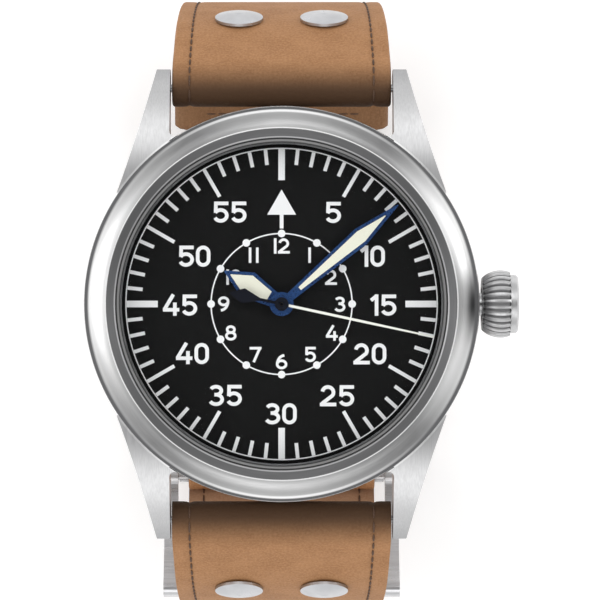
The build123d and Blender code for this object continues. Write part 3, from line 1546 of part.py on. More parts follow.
def balance_wheel():
    body = ring(balance_radius, balance_radius - balance_rim_width, balance_low, balance_high,
                balance_place)
    for spoke_angle in (0, quarter_turn):
        half = balance_radius - balance_rim_width / 2
        body += arm(polar(half, spoke_angle, balance_place),
                    polar(-half, spoke_angle, balance_place), balance_spoke_width, balance_low,
                    balance_low + wheel_thickness)
    for index in range(balance_screws):
        place = polar(balance_radius - balance_rim_width / 2, (index + 1 / 2) * full_turn
                      / balance_screws, balance_place)
        body += disc(balance_screw_radius, balance_high, balance_high + wheel_thickness, place)
    body += arbor(balance_place, cock_high + running_gap, plate_low - running_gap, cock_high,
                  pinion_arbor_radius)
    body += disc(roller_radius, roller_low, roller_low + roller_thickness, balance_place)
    pin_place = polar(impulse_place, pallet_angle + half_turn, balance_place)
    body += disc(impulse_pin_radius, pallet_low, roller_low, pin_place)
    save("balance_wheel", body)
    save("hairspring", Pos(*balance_place) * spiral(
        hairspring_inner_radius, hairspring_outer_radius, hairspring_turns, hairspring_wire,
        hairspring_low, hairspring_high))


# Movement: winding and hand setting


def ratchet_wheel():
    body = gear(ratchet_teeth, winding_module, ratchet_low, ratchet_high, barrel_place)
    body += disc(barrel_post_radius, ratchet_low, plate_low - running_gap, barrel_place)
    body += disc(barrel_pivot_radius, plate_low - running_gap,
                 plate_low + bearing_depth - running_gap, barrel_place)
    core_low = barrel_low + barrel_wall + running_gap
    body += disc(barrel_arbor_radius, core_low, core_low + mainspring_height, barrel_place)
    save("ratchet_wheel", body)


def crown_wheel():
    angle = meshed_angle(ratchet_teeth, 0, crown_wheel_teeth,
                         direction(barrel_place, crown_wheel_place))
    body = gear(crown_wheel_teeth, winding_module, ratchet_low, ratchet_high, crown_wheel_place,
                angle)
    top = stem_z - winding_pinion_radius - running_gap
    body += ring(crown_wheel_rim_radius, crown_wheel_rim_radius - crown_wheel_rim_width,
                 ratchet_low, top, crown_wheel_place)
    body -= disc(stud_radius + running_gap, 0, top, crown_wheel_place)
    save("crown_wheel", body)


def click():
    nose = polar(pitch_radius(ratchet_teeth, winding_module) + winding_module
                 + click_nose_gap + click_width / 2, click_angle - click_spread, barrel_place)
    body = arm(click_place, nose, click_width, click_low, click_low + click_thickness)
    body -= disc(stud_radius + running_gap, 0, plate_low, click_place)
    save("click", body)


def pinion_on_stem(teeth, radius, length, bore):
    """Toothed pinion about the stem's line, from its inner end outwards."""
    module = 2 * radius / (teeth + 2 * tooth_tip_rise_share)
    return gear(teeth, module, 0, length) - slab(bore, -overrun, length + overrun)


def winding_pinions():
    winding = pinion_on_stem(winding_pinion_teeth, winding_pinion_radius, winding_pinion_length,
                             Circle(stem_radius + running_gap))
    save("winding_pinion", along_x(winding, winding_pinion_x, 0, stem_z))
    side = stem_square_side + 2 * running_gap
    sliding = pinion_on_stem(winding_pinion_teeth, sliding_pinion_radius, sliding_pinion_length,
                             Rectangle(side, side))
    groove_room = lever_pin_radius + running_gap
    middle = sliding_pinion_length / 2
    sliding -= ring(sliding_pinion_radius + overrun, sliding_pinion_waist, middle - groove_room,
                    middle + groove_room)
    save("sliding_pinion", along_x(sliding, sliding_pinion_x, 0, stem_z))


def cannon_pinion():
    body = gear(cannon_teeth, motion_module, cannon_low, cannon_teeth_high)
    body += disc(cannon_radius, cannon_low, minute_hand_low + hand_thickness)
    body -= disc(arbor_radius + pivot_gap, 0, case_top)
    save("cannon_pinion", body)


def minute_wheel():
    angle = meshed_angle(cannon_teeth, 0, minute_wheel_teeth, 0)
    body = gear(minute_wheel_teeth, motion_module, minute_wheel_low, minute_wheel_high,
                minute_wheel_place, angle)
    pinion_angle = meshed_angle(hour_wheel_teeth, 0, minute_pinion_teeth, 0)
    body += gear(minute_pinion_teeth, pinion_module, minute_wheel_low, minute_pinion_high,
                 minute_wheel_place, pinion_angle)
    body -= disc(stud_radius + running_gap, 0, case_top, minute_wheel_place)
    save("minute_wheel", body)


def hour_wheel():
    body = gear(hour_wheel_teeth, pinion_module, hour_wheel_low, hour_wheel_high)
    body += disc(hour_pipe_radius, hour_wheel_low, hour_hand_low + hand_thickness)
    body -= disc(cannon_radius + running_gap, 0, case_top)
    save("hour_wheel", body)


def setting_wheel():
    wheel_angle = meshed_angle(cannon_teeth, 0, minute_wheel_teeth, 0)
    angle = meshed_angle(minute_wheel_teeth, wheel_angle, setting_wheel_teeth, 0)
    body = gear(setting_wheel_teeth, motion_module, setting_wheel_low, setting_wheel_high,
                setting_wheel_place, angle)
    body -= disc(stud_radius + running_gap, 0, case_top, setting_wheel_place)
    save("setting_wheel", body)


def lever(node, pivot, pin, pin_low, width):
    """Flat lever on a stud, with a pin that reaches down to the stem."""
    body = arm(pivot, pin, width, lever_low, lever_high)
    body += disc(lever_pin_radius, pin_low, lever_low, pin)
    save(node, body - disc(stud_radius + running_gap, 0, case_top, pivot))


def keyless_levers():
    lever("setting_lever", lever_pivot, lever_pin, stem_z + stem_groove_radius + running_gap,
          lever_width)
    lever("yoke", yoke_pivot, yoke_pin, stem_z + sliding_pinion_waist + running_gap, yoke_width)


os.makedirs("parts", exist_ok=True)
for make in (case_middle, case_back, bezel, crystal, rehaut_ring, dial, dial_markings, hands,
             seconds_hand, crown, crown_tube, winding_stem, spring_bars, strap_short_upper,
             strap_long_upper, strap_short_lower, strap_long_tail, rivets, buckle_frame,
             buckle_bar, buckle_tongue, keepers, main_plate, movement_ring, barrel_bridge,
             train_bridge, balance_cock, movement_screws, barrel, centre_wheel, third_wheel,
             fourth_wheel, escape_wheel, pallet_fork, balance_wheel, ratchet_wheel, crown_wheel,
             click, winding_pinions, cannon_pinion, minute_wheel, hour_wheel, setting_wheel,
             keyless_levers):
    make()
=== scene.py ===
"""Looks of a hand-wound pilot's watch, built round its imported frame.

Sizes are millimetres until a mesh is finished, and metres in the scene. The dial faces +Z,
12 o'clock is +Y and the crown is at +X.
"""
import logging
import math
from bisect import bisect_right
from dataclasses import dataclass, field
from enum import Enum
from typing import Callable, Iterable, Sequence, Union

import bmesh
import bpy
from mathutils import Matrix, Vector


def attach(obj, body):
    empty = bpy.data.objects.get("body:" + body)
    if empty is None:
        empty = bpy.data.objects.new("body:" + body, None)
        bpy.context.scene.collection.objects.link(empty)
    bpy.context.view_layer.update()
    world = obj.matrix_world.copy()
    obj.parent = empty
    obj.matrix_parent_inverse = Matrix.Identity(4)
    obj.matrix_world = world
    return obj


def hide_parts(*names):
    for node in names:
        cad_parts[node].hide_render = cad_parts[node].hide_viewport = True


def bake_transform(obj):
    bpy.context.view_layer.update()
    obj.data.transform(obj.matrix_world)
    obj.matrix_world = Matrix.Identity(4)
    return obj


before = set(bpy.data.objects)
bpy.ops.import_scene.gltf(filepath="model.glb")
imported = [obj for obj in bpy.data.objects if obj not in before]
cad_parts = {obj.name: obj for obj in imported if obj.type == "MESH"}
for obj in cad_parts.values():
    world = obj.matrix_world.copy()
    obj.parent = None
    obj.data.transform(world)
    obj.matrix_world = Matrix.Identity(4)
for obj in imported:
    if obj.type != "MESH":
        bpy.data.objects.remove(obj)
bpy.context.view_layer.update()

log = logging.getLogger("watch")

MM = 0.001
TINY = 1e-3
Colour = tuple[float, float, float]
Pair = tuple[float, float]
Socket = bpy.types.NodeSocket
Feed = Union[float, Sequence[float], Socket]


def heading(angle: float) -> Vector:
    """Unit direction in a side view, from an angle in degrees."""
    return Vector((math.cos(math.radians(angle)), math.sin(math.radians(angle))))


def eased(share: float) -> float:
    """A share of 0 to 1, with a soft start and end."""
    return share * share * (3 - 2 * share)


def between(low: float, high: float, share: float) -> float:
    """The value a share of the way from low to high."""
    return low + (high - low) * share


# Shader nodes


class Graph:
    """A shader node tree that is being built."""

    def __init__(self, tree: bpy.types.NodeTree) -> None:
        """Starts on an empty tree."""
        self.tree = tree
        tree.nodes.clear()

    def add(self, kind: str, inputs: dict[Union[str, int], Feed] | None = None,
            **settings: object) -> bpy.types.Node:
        """Adds a node.

        Args:
            kind: The node's type, without its ShaderNode start.
            inputs: Values or sockets for its inputs.
            settings: The node's own settings.

        Returns:
            The new node.
        """
        node = self.tree.nodes.new("ShaderNode" + kind)
        for name, value in settings.items():
            setattr(node, name, value)
        self.fill(node, inputs or {})
        return node

    def fill(self, node: bpy.types.Node, inputs: dict[Union[str, int], Feed]) -> None:
        """Links a node's inputs, or sets their values."""
        for name, value in inputs.items():
            self.feed(node.inputs[name], value)

    def feed(self, socket: Socket, value: Feed) -> None:
        """Links a socket to an input, or sets its value."""
        if isinstance(value, Socket):
            self.tree.links.new(value, socket)
        elif socket.type == "RGBA":
            socket.default_value = (*tuple(value)[:3], 1.0)
        else:
            socket.default_value = value

    def place(self) -> Socket:
        """The point on the piece, in metres."""
        return self.add("TexCoord").outputs["Object"]

    def moved(self, vector: Feed, shift: Sequence[float] = (0, 0, 0),
              turn: Sequence[float] = (0, 0, 0), scale: Sequence[float] = (1, 1, 1)) -> Socket:
        """A vector shifted, turned by angles in degrees and stretched."""
        angles = tuple(math.radians(angle) for angle in turn)
        return self.add("Mapping", {"Vector": vector, "Location": shift, "Rotation": angles,
                                    "Scale": scale}).outputs[0]

    def parts(self, vector: Feed) -> bpy.types.bpy_prop_collection:
        """A vector's X, Y and Z."""
        return self.add("SeparateXYZ", {0: vector}).outputs

    def reach(self, axis: int, vector: Feed | None = None) -> Socket:
        """How far the point lies along an axis, in millimetres."""
        vector = self.place() if vector is None else vector
        return self.maths("MULTIPLY", self.parts(vector)[axis], 1 / MM)

    def maths(self, operation: str, *values: Feed) -> Socket:
        """One sum on up to three values."""
        return self.add("Math", dict(enumerate(values)), operation=operation).outputs[0]

    def product(self, first: Feed, *others: Feed) -> Socket:
        """Values multiplied with each other.

        Args:
            first: The first value.
            others: The values that it is multiplied by, in order.

        Returns:
            The product.
        """
        for other in others:
            first = self.maths("MULTIPLY", first, other)
        return first

    def apart(self, value: Feed, middle: Feed) -> Socket:
        """How far a value is from a middle one."""
        return self.maths("ABSOLUTE", self.maths("SUBTRACT", value, middle))

    def from_axis(self, parts: Sequence[Socket]) -> Socket:
        """Distance from Z."""
        return self.maths("SQRT", self.maths("ADD", self.product(parts[0], parts[0]),
                                             self.product(parts[1], parts[1])))

    def band(self, value: Feed, low: float = 0.3, high: float = 0.7) -> Socket:
        """0 below low, 1 above high and soft in between. High may be under low."""
        node = self.add("MapRange", {"Value": value, "From Min": low, "From Max": high},
                        interpolation_type="SMOOTHSTEP")
        return node.outputs[0]

    def mixed(self, share: Feed, first: Feed, second: Feed) -> Socket:
        """A colour between two."""
        return self.add("Mix", {0: share, 6: first, 7: second}, data_type="RGBA").outputs[2]

    def layered(self, base: Feed, *layers: tuple[Feed, Feed]) -> Socket:
        """A colour with others over it.

        Args:
            base: The lowest colour.
            layers: Share and colour of each that lies over it, the lowest first.

        Returns:
            The colour of them all.
        """
        for share, colour in layers:
            base = self.mixed(share, base, colour)
        return base

    def spread(self, share: Feed, low: float, high: float) -> Socket:
        """A share of 0 to 1, stretched between two values."""
        return self.add("MapRange", {"Value": share, "To Min": low, "To Max": high}).outputs[0]

    def noise(self, vector: Feed, scale: Feed, detail: float, roughness: float) -> Socket:
        """Soft noise, 0 to 1."""
        return self.add("TexNoise", {"Vector": vector, "Scale": scale, "Detail": detail,
                                     "Roughness": roughness}).outputs[0]

    def bump(self, height: Feed, strength: float, depth: float) -> Socket:
        """A normal raised by a height.

        Args:
            height: What raises the surface, 0 to 1.
            strength: Share of the effect.
            depth: Height of the relief in millimetres.

        Returns:
            The normal.
        """
        return self.add("Bump", {"Height": height, "Strength": strength,
                                 "Distance": depth * MM}).outputs[0]


class Effect(Enum):
    """Effects that several finishes share, each a node group."""

    BRUSHED = "brushed_lines"
    TURNED = "turned_lines"
    ROUND = "round_place"
    CLOUDS = "clouds"
    GRAIN = "leather_grain"
    SPECKS = "specks"


class Effects:
    """Builds each shared effect once and places it in materials."""

    def __init__(self) -> None:
        """Builds all the groups."""
        self.groups: dict[Effect, bpy.types.NodeTree] = {}
        for build in (self._brushed, self._turned, self._round, self._clouds, self._grain,
                      self._specks):
            build()

    def _start(self, effect: Effect, inputs: dict[str, float],
               outputs: Sequence[str] = ("Mask",)) -> tuple[Graph, dict, dict]:
        """Starts a group.

        Args:
            effect: Which one.
            inputs: Names and usual values of its number inputs, next to Place.
            outputs: Names of its value outputs.

        Returns:
            The graph, the sockets that it reads and the sockets that it feeds.
        """
        tree = bpy.data.node_groups.new(effect.value, "ShaderNodeTree")
        tree.interface.new_socket("Place", in_out="INPUT", socket_type="NodeSocketVector")
        for name, value in inputs.items():
            socket = tree.interface.new_socket(name, in_out="INPUT",
                                               socket_type="NodeSocketFloat")
            socket.default_value = value
        for name in outputs:
            tree.interface.new_socket(name, in_out="OUTPUT", socket_type="NodeSocketFloat")
        self.groups[effect] = tree
        return (Graph(tree), tree.nodes.new("NodeGroupInput").outputs,
                tree.nodes.new("NodeGroupOutput").inputs)

    def _brushed(self) -> None:
        """Fine straight lines along Y."""
        graph, given, made = self._start(Effect.BRUSHED, {"Fineness": 6000.0})
        drawn = graph.moved(given["Place"], scale=(1, 0.02, 0.6))
        graph.feed(made["Mask"], graph.band(graph.noise(drawn, given["Fineness"], 3.0, 0.7)))

    def _turned(self) -> None:
        """Fine lines round Z, as a lathe leaves them."""
        graph, given, made = self._start(Effect.TURNED, {"Fineness": 5000.0, "Length": 3.0})
        parts = graph.parts(given["Place"])
        radius = graph.maths("MAXIMUM", graph.from_axis(parts), 1e-6)
        along = [graph.product(graph.maths("DIVIDE", parts[axis], radius), given["Length"])
                 for axis in (0, 1)]
        out = graph.product(graph.maths("ADD", radius, parts[2]), given["Fineness"])
        drawn = graph.add("CombineXYZ", {0: along[0], 1: along[1], 2: out}).outputs[0]
        graph.feed(made["Mask"], graph.band(graph.noise(drawn, 1.0, 3.0, 0.65)))

    def _round(self) -> None:
        """Distance from Z in millimetres, and the turn about it in degrees."""
        graph, given, made = self._start(Effect.ROUND, {}, ("Radius", "Turn"))
        parts = graph.parts(given["Place"])
        graph.feed(made["Radius"], graph.product(graph.from_axis(parts), 1 / MM))
        turn = graph.maths("ARCTAN2", parts[1], parts[0])
        graph.feed(made["Turn"], graph.product(turn, math.degrees(1)))

    def _clouds(self) -> None:
        """Large soft patches."""
        graph, given, made = self._start(Effect.CLOUDS, {"Scale": 200.0})
        cloud = graph.noise(given["Place"], given["Scale"], 4.0, 0.55)
        graph.feed(made["Mask"], graph.band(cloud))

    def _grain(self) -> None:
        """Leather: a fine nap with short wrinkles across, and pores."""
        graph, given, made = self._start(Effect.GRAIN, {"Scale": 1.0},
                                         ("Nap", "Wrinkle", "Pores"))
        place = graph.add("VectorMath", {0: given["Place"], "Scale": given["Scale"]},
                          operation="SCALE").outputs[0]
        drawn = graph.moved(place, scale=(0.25, 1.0, 1.0))
        cells = graph.add("TexVoronoi", {"Vector": place, "Scale": 48.0},
                          feature="SMOOTH_F1").outputs["Distance"]
        graph.feed(made["Nap"], graph.band(graph.noise(place, 40.0, 5.0, 0.7)))
        graph.feed(made["Wrinkle"], graph.band(graph.noise(drawn, 52.0, 4.0, 0.62), 0.34, 0.66))
        graph.feed(made["Pores"], graph.band(cells, 0.0, 0.7))

    def _specks(self) -> None:
        """Tiny even specks, as paint and lacquer have."""
        graph, given, made = self._start(Effect.SPECKS, {"Scale": 9000.0})
        graph.feed(made["Mask"], graph.noise(given["Place"], given["Scale"], 2.0, 0.6))

    def use(self, graph: Graph, effect: Effect, place: Feed | None = None,
            **values: Feed) -> bpy.types.bpy_prop_collection:
        """Places an effect in a material.

        Args:
            graph: The material's graph.
            effect: Which one.
            place: The coordinates that it reads, or None for the point on the piece.
            values: Its other inputs.

        Returns:
            The effect's outputs.
        """
        node = graph.add("Group")
        node.node_tree = self.groups[effect]
        graph.fill(node, {"Place": graph.place() if place is None else place, **values})
        return node.outputs

    def mask(self, graph: Graph, effect: Effect, place: Feed | None = None,
             **values: Feed) -> Socket:
        """Places an effect that has one mask, and gives that mask."""
        return self.use(graph, effect, place, **values)["Mask"]


effects = Effects()


# Finishes


@dataclass(frozen=True)
class Finish:
    """A finish of the watch, made into a material once."""

    name: str

    def build(self, graph: Graph, shader: bpy.types.Node) -> None:
        """Adds the finish's own nodes and values."""
        raise NotImplementedError

    def material(self) -> bpy.types.Material:
        """The material, built the first time it is asked for."""
        title = self.name + "_finish"
        if title in bpy.data.materials:
            return bpy.data.materials[title]
        made = bpy.data.materials.new(title)
        made.use_nodes = True
        graph = Graph(made.node_tree)
        shader = graph.add("BsdfPrincipled")
        graph.add("OutputMaterial", {"Surface": shader.outputs[0]})
        self.build(graph, shader)
        return made


class Lines(Enum):
    """How a metal was brushed: the turn of its lines in degrees, and their effect."""

    ALONG_Y = ((0, 0, 0), Effect.BRUSHED)
    ALONG_X = ((0, 0, 90), Effect.BRUSHED)
    ROUND_Z = ((0, 0, 0), Effect.TURNED)
    ROUND_X = ((0, 90, 0), Effect.TURNED)


@dataclass(frozen=True)
class BrushedMetal(Finish):
    """Metal with brushed lines, lighter and darker streaks and soft patches."""

    colour: Colour
    shade: Colour
    lines: Lines
    roughness: float = 0.32
    fineness: float = 6000.0
    relief: float = 0.004
    middle: tuple[float, float, float] = (0.0, 0.0, 0.0)
    streak_share: float = 0.65
    duller: float = 0.06
    glossier: float = 0.04

    def centred(self, graph: Graph) -> Socket:
        """The point on the piece, from the middle that its lines go round."""
        return graph.moved(graph.place(), tuple(-value * MM for value in self.middle))

    def tone(self, graph: Graph, streaks: Socket) -> Socket:
        """The colour, from streaks and patches."""
        patches = effects.mask(graph, Effect.CLOUDS, Scale=160.0)
        share = graph.maths("ADD", graph.product(streaks, self.streak_share),
                            graph.product(patches, 1 - self.streak_share))
        return graph.mixed(share, self.shade, self.colour)

    def build(self, graph: Graph, shader: bpy.types.Node) -> None:
        """Metal whose lines show in its colour, gloss and relief."""
        turn, effect = self.lines.value
        streaks = effects.mask(graph, effect, graph.moved(self.centred(graph), turn=turn),
                               Fineness=self.fineness)
        graph.fill(shader, {
            "Base Color": self.tone(graph, streaks), "Metallic": 1.0,
            "Roughness": graph.spread(streaks, self.roughness + self.duller,
                                      self.roughness - self.glossier),
            "Normal": graph.bump(streaks, 0.5, self.relief)})


@dataclass(frozen=True)
class CaseSteel(BrushedMetal):
    """Case steel, with a painted highlight in a thin rim under the bezel and painted shade at the
    lug tips.
    """

    # Painted shade at the lug tips.
    tip_shade_colour: Colour = (0.3, 0.3, 0.31)
    tip_shade_bands: Pair = (23.2, 25.6)
    tip_shade_share: float = 0.4
    # A painted highlight in a thin rim just under the bezel.
    rim_highlight_colour: Colour = (0.8, 0.8, 0.8)
    rim_highlight_bands: Pair = (20.82, 20.98)
    rim_highlight_end_bands: Pair = (21.3, 21.22)
    rim_highlight_heights: Pair = (6.0, 6.6)

    def tone(self, graph: Graph, streaks: Socket) -> Socket:
        """The brushed tone with its painted rim highlight and painted shade at the tips."""
        away = graph.maths("ABSOLUTE", graph.reach(1))
        radius = effects.use(graph, Effect.ROUND)["Radius"]
        # Painted highlight on the rim under the bezel.
        rim_highlight = graph.product(graph.band(radius, *self.rim_highlight_bands),
                            graph.band(radius, *self.rim_highlight_end_bands),
                            graph.band(graph.reach(2), *self.rim_highlight_heights))
        # Painted shade over the lug tips, then the painted rim highlight.
        return graph.layered(
            super().tone(graph, streaks),
            (graph.product(graph.band(away, *self.tip_shade_bands), self.tip_shade_share), self.tip_shade_colour),
            (rim_highlight, self.rim_highlight_colour))


@dataclass(frozen=True)
class BezelSteel(BrushedMetal):
    """Bezel steel: a painted bright band between a painted dark outer edge and a painted dark
    inner slope.

    The sheens are painted highlights, shaped as the fans that circular brushing shows under
    lamps, each with its turn about the dial, its strength and its width in degrees. The dark
    reflection is a painted dark fan next to the crown.
    """

    # Colour of the painted highlights: the sheen fans, the crest line and the glint.
    highlight_colour: Colour = (1.0, 1.0, 1.0)
    sheens: tuple[tuple[float, float, float], ...] = (
        (26.0, 0.85, 32.0), (90.0, 0.25, 36.0), (174.0, 0.84, 58.0), (268.0, 0.34, 44.0),
        (340.0, 0.55, 26.0))
    # A painted dark reflection fan next to the crown.
    dark_reflection_colour: Colour = (0.03, 0.03, 0.031)
    dark_reflection_turn: float = 14.0
    dark_reflection_bands: Pair = (18.7, 20.3)
    # A painted highlight line along the crest.
    highlight_line_middle: float = 18.7
    highlight_line_width: float = 0.09
    # A painted dark reflection ring on the steep outer edge.
    edge_reflection_colour: Colour = (0.095, 0.095, 0.098)
    edge_reflection_bands: Pair = (20.36, 20.7)
    # A painted highlight just inside the outer edge, strongest at 12 and 6 o'clock.
    glint_turn: float = 90.0
    glint_fade: Pair = (56.0, 0.0)
    glint_middle: float = 20.54
    glint_bands: Pair = (0.22, 0.06)
    glint_power: float = 0.8
    # A painted highlight on the outermost rim.
    rim_highlight_colour: Colour = (0.6, 0.6, 0.605)
    rim_highlight_bands: Pair = (20.96, 20.995)
    # A painted dark reflection on the inner slope, and a lighter painted reflection on the lip by
    # the crystal.
    slope_reflection_colour: Colour = (0.108, 0.108, 0.11)
    slope_reflection_bands: Pair = (18.65, 18.59)
    lip_reflection_colour: Colour = (0.32, 0.32, 0.325)
    lip_reflection_bands: Pair = (17.84, 17.76)

    def sheen(self, graph: Graph, turn: Socket) -> Socket:
        """The mask of the painted highlight fans."""
        total: Feed = 0.0
        for at, power, width in self.sheens:
            away = graph.maths("ABSOLUTE", graph.maths(
                "WRAP", graph.maths("SUBTRACT", turn, at), 180.0, -180.0))
            total = graph.maths("ADD", total, graph.product(graph.band(away, width, 0.0), power))
        return graph.maths("MINIMUM", total, 1.0)

    def tone(self, graph: Graph, streaks: Socket) -> Socket:
        """The brushed tone with its painted highlight fans and lines, and painted dark rings."""
        ring = effects.use(graph, Effect.ROUND)
        radius, beside = ring["Radius"], graph.maths("ABSOLUTE", ring["Turn"])
        # Painted dark reflection fan by the crown.
        dark_reflection = graph.product(graph.band(beside, self.dark_reflection_turn, 0.0),
                             graph.band(radius, *self.dark_reflection_bands))
        # Painted highlight line along the crest.
        line = graph.band(graph.apart(radius, self.highlight_line_middle), self.highlight_line_width, 0.0)
        # Painted highlight just inside the outer edge.
        glint = graph.product(
            graph.band(graph.apart(beside, self.glint_turn), *self.glint_fade),
            graph.band(graph.apart(radius, self.glint_middle), *self.glint_bands),
            self.glint_power)
        return graph.layered(
            super().tone(graph, streaks), (self.sheen(graph, ring["Turn"]), self.highlight_colour),
            (dark_reflection, self.dark_reflection_colour), (line, self.highlight_colour),
            (graph.band(radius, *self.edge_reflection_bands), self.edge_reflection_colour), (glint, self.highlight_colour),
            (graph.band(radius, *self.rim_highlight_bands), self.rim_highlight_colour),
            (graph.band(radius, *self.slope_reflection_bands), self.slope_reflection_colour),
            (graph.band(radius, *self.lip_reflection_bands), self.lip_reflection_colour))


@dataclass(frozen=True)
class FlutedSteel(BrushedMetal):
    """Crown steel, with painted shade in the valleys of its flutes and towards the case."""

    flutes: int = 30
    flute_ends: Pair = (24.62, 24.5)
    # Painted shade in the valleys of the flutes.
    valley_shade_colour: Colour = (0.15, 0.15, 0.152)
    valley_shade_bands: Pair = (0.35, -0.75)
    # Painted shade at the root, next to the case.
    root_shade_colour: Colour = (0.14, 0.14, 0.142)
    root_shade_bands: Pair = (22.7, 21.5)
    root_shade_share: float = 0.7

    def tone(self, graph: Graph, streaks: Socket) -> Socket:
        """The brushed tone, with painted shade in each flute and at the root."""
        place = self.centred(graph)
        parts, reach = graph.parts(place), graph.reach(0, place)
        turn = graph.maths("ARCTAN2", parts[2], parts[1])
        wave = graph.maths("COSINE", graph.product(turn, self.flutes))
        # Painted shade in each flute's valley.
        valley_shade = graph.product(graph.band(wave, *self.valley_shade_bands),
                               graph.band(reach, *self.flute_ends))
        # Painted shade at the root.
        root = graph.product(graph.band(reach, *self.root_shade_bands), self.root_shade_share)
        return graph.layered(super().tone(graph, streaks), (valley_shade, self.valley_shade_colour),
                             (root, self.root_shade_colour))


@dataclass(frozen=True)
class GiltArbor(BrushedMetal):
    """A gilt wheel whose arbor end is black above the dial."""

    end_colour: Colour = (0.01, 0.01, 0.012)
    end_heights: Pair = (7.0, 7.2)

    def tone(self, graph: Graph, streaks: Socket) -> Socket:
        """Gilt below the dial and black above."""
        return graph.mixed(graph.band(graph.reach(2), *self.end_heights),
                           super().tone(graph, streaks), self.end_colour)


@dataclass(frozen=True)
class SmoothMetal(Finish):
    """Smooth metal with faint patches in its tone, and hairlines."""

    colour: Colour
    shade: Colour
    roughness: float = 0.2
    scale: float = 900.0
    speck_scale: float = 7000.0
    metallic: float = 1.0
    duller: float = 0.04
    glossier: float = 0.03
    hair_strength: float = 0.15
    hair_relief: float = 0.003

    def build(self, graph: Graph, shader: bpy.types.Node) -> None:
        """Metal with small changes of tone and gloss."""
        patches = effects.mask(graph, Effect.CLOUDS, Scale=self.scale)
        specks = effects.mask(graph, Effect.SPECKS, Scale=self.speck_scale)
        graph.fill(shader, {
            "Base Color": graph.mixed(patches, self.shade, self.colour),
            "Metallic": self.metallic,
            "Roughness": graph.spread(self.gloss(patches, specks), self.roughness + self.duller,
                                      self.roughness - self.glossier),
            "Normal": graph.bump(specks, self.hair_strength, self.hair_relief)})

    def gloss(self, patches: Socket, specks: Socket) -> Socket:
        """What the gloss follows."""
        return patches


@dataclass(frozen=True)
class BluedSteel(SmoothMetal):
    """Heat-blued steel of the hands, which drifts a little in hue."""

    roughness: float = 0.28
    scale: float = 420.0
    speck_scale: float = 5000.0
    metallic: float = 0.85
    duller: float = 0.05
    glossier: float = 0.05

    def gloss(self, patches: Socket, specks: Socket) -> Socket:
        """The gloss follows the specks."""
        return specks


@dataclass(frozen=True)
class Paint(Finish):
    """Paint, lacquer, print or rubber: an even colour with a fine tooth."""

    colour: Colour
    shade: Colour
    roughness: float = 0.6
    tooth: float = 0.006
    speck_scale: float = 9000.0
    specular: float = 0.5
    gloss_spread: float = 0.08

    def tone(self, graph: Graph, plain: Socket) -> Socket:
        """The colour, from the plain specked one."""
        return plain

    def build(self, graph: Graph, shader: bpy.types.Node) -> None:
        """Paint with specks in colour, gloss and relief."""
        specks = effects.mask(graph, Effect.SPECKS, Scale=self.speck_scale)
        graph.fill(shader, {
            "Base Color": self.tone(graph, graph.mixed(specks, self.shade, self.colour)),
            "Roughness": graph.spread(specks, self.roughness + self.gloss_spread,
                                      self.roughness - self.gloss_spread),
            "Specular IOR Level": self.specular,
            "Normal": graph.bump(specks, 0.4, self.tooth)})


@dataclass(frozen=True)
class NeedlePaint(Paint):
    """The seconds hand: a pale needle with a black hub and tail."""

    dark: Colour = (0.006, 0.007, 0.012)
    angle: float = -12.2
    needle_bands: Pair = (0.75, 0.81)

    def tone(self, graph: Graph, plain: Socket) -> Socket:
        """Pale paint on the needle only."""
        along = graph.moved(graph.place(), turn=(0, 0, -self.angle))
        return graph.mixed(graph.band(graph.reach(0, along), *self.needle_bands), self.dark,
                           plain)


@dataclass(frozen=True)
class GroundGlass(Paint):
    """The crystal's ground edge, darker towards the dial."""

    inner: Colour = (0.012, 0.012, 0.012)
    bands: Pair = (17.12, 17.44)

    def tone(self, graph: Graph, plain: Socket) -> Socket:
        """Pale at the rim only."""
        radius = effects.use(graph, Effect.ROUND)["Radius"]
        return graph.mixed(graph.band(radius, *self.bands), self.inner, plain)


@dataclass(frozen=True)
class CrystalGlass(Finish):
    """Clear glass that lets the lamps through to the dial."""

    colour: Colour
    roughness: float = 0.01
    wiped: float = 0.012
    index: float = 1.3

    def build(self, graph: Graph, shader: bpy.types.Node) -> None:
        """Glass for sight, clear for light on its way to the dial."""
        wipe = effects.mask(graph, Effect.CLOUDS, Scale=120.0)
        graph.fill(shader, {
            "Base Color": self.colour,
            "Roughness": graph.spread(wipe, self.roughness, self.roughness + self.wiped),
            "IOR": self.index, "Transmission Weight": 1.0})
        clear = graph.add("BsdfTransparent", {"Color": self.colour})
        path = graph.add("LightPath").outputs
        through = graph.maths("MAXIMUM", path["Is Shadow Ray"], path["Is Diffuse Ray"])
        both = graph.add("MixShader", {0: through, 1: shader.outputs[0], 2: clear.outputs[0]})
        output = next(node for node in graph.tree.nodes if node.type == "OUTPUT_MATERIAL")
        graph.feed(output.inputs["Surface"], both.outputs[0])


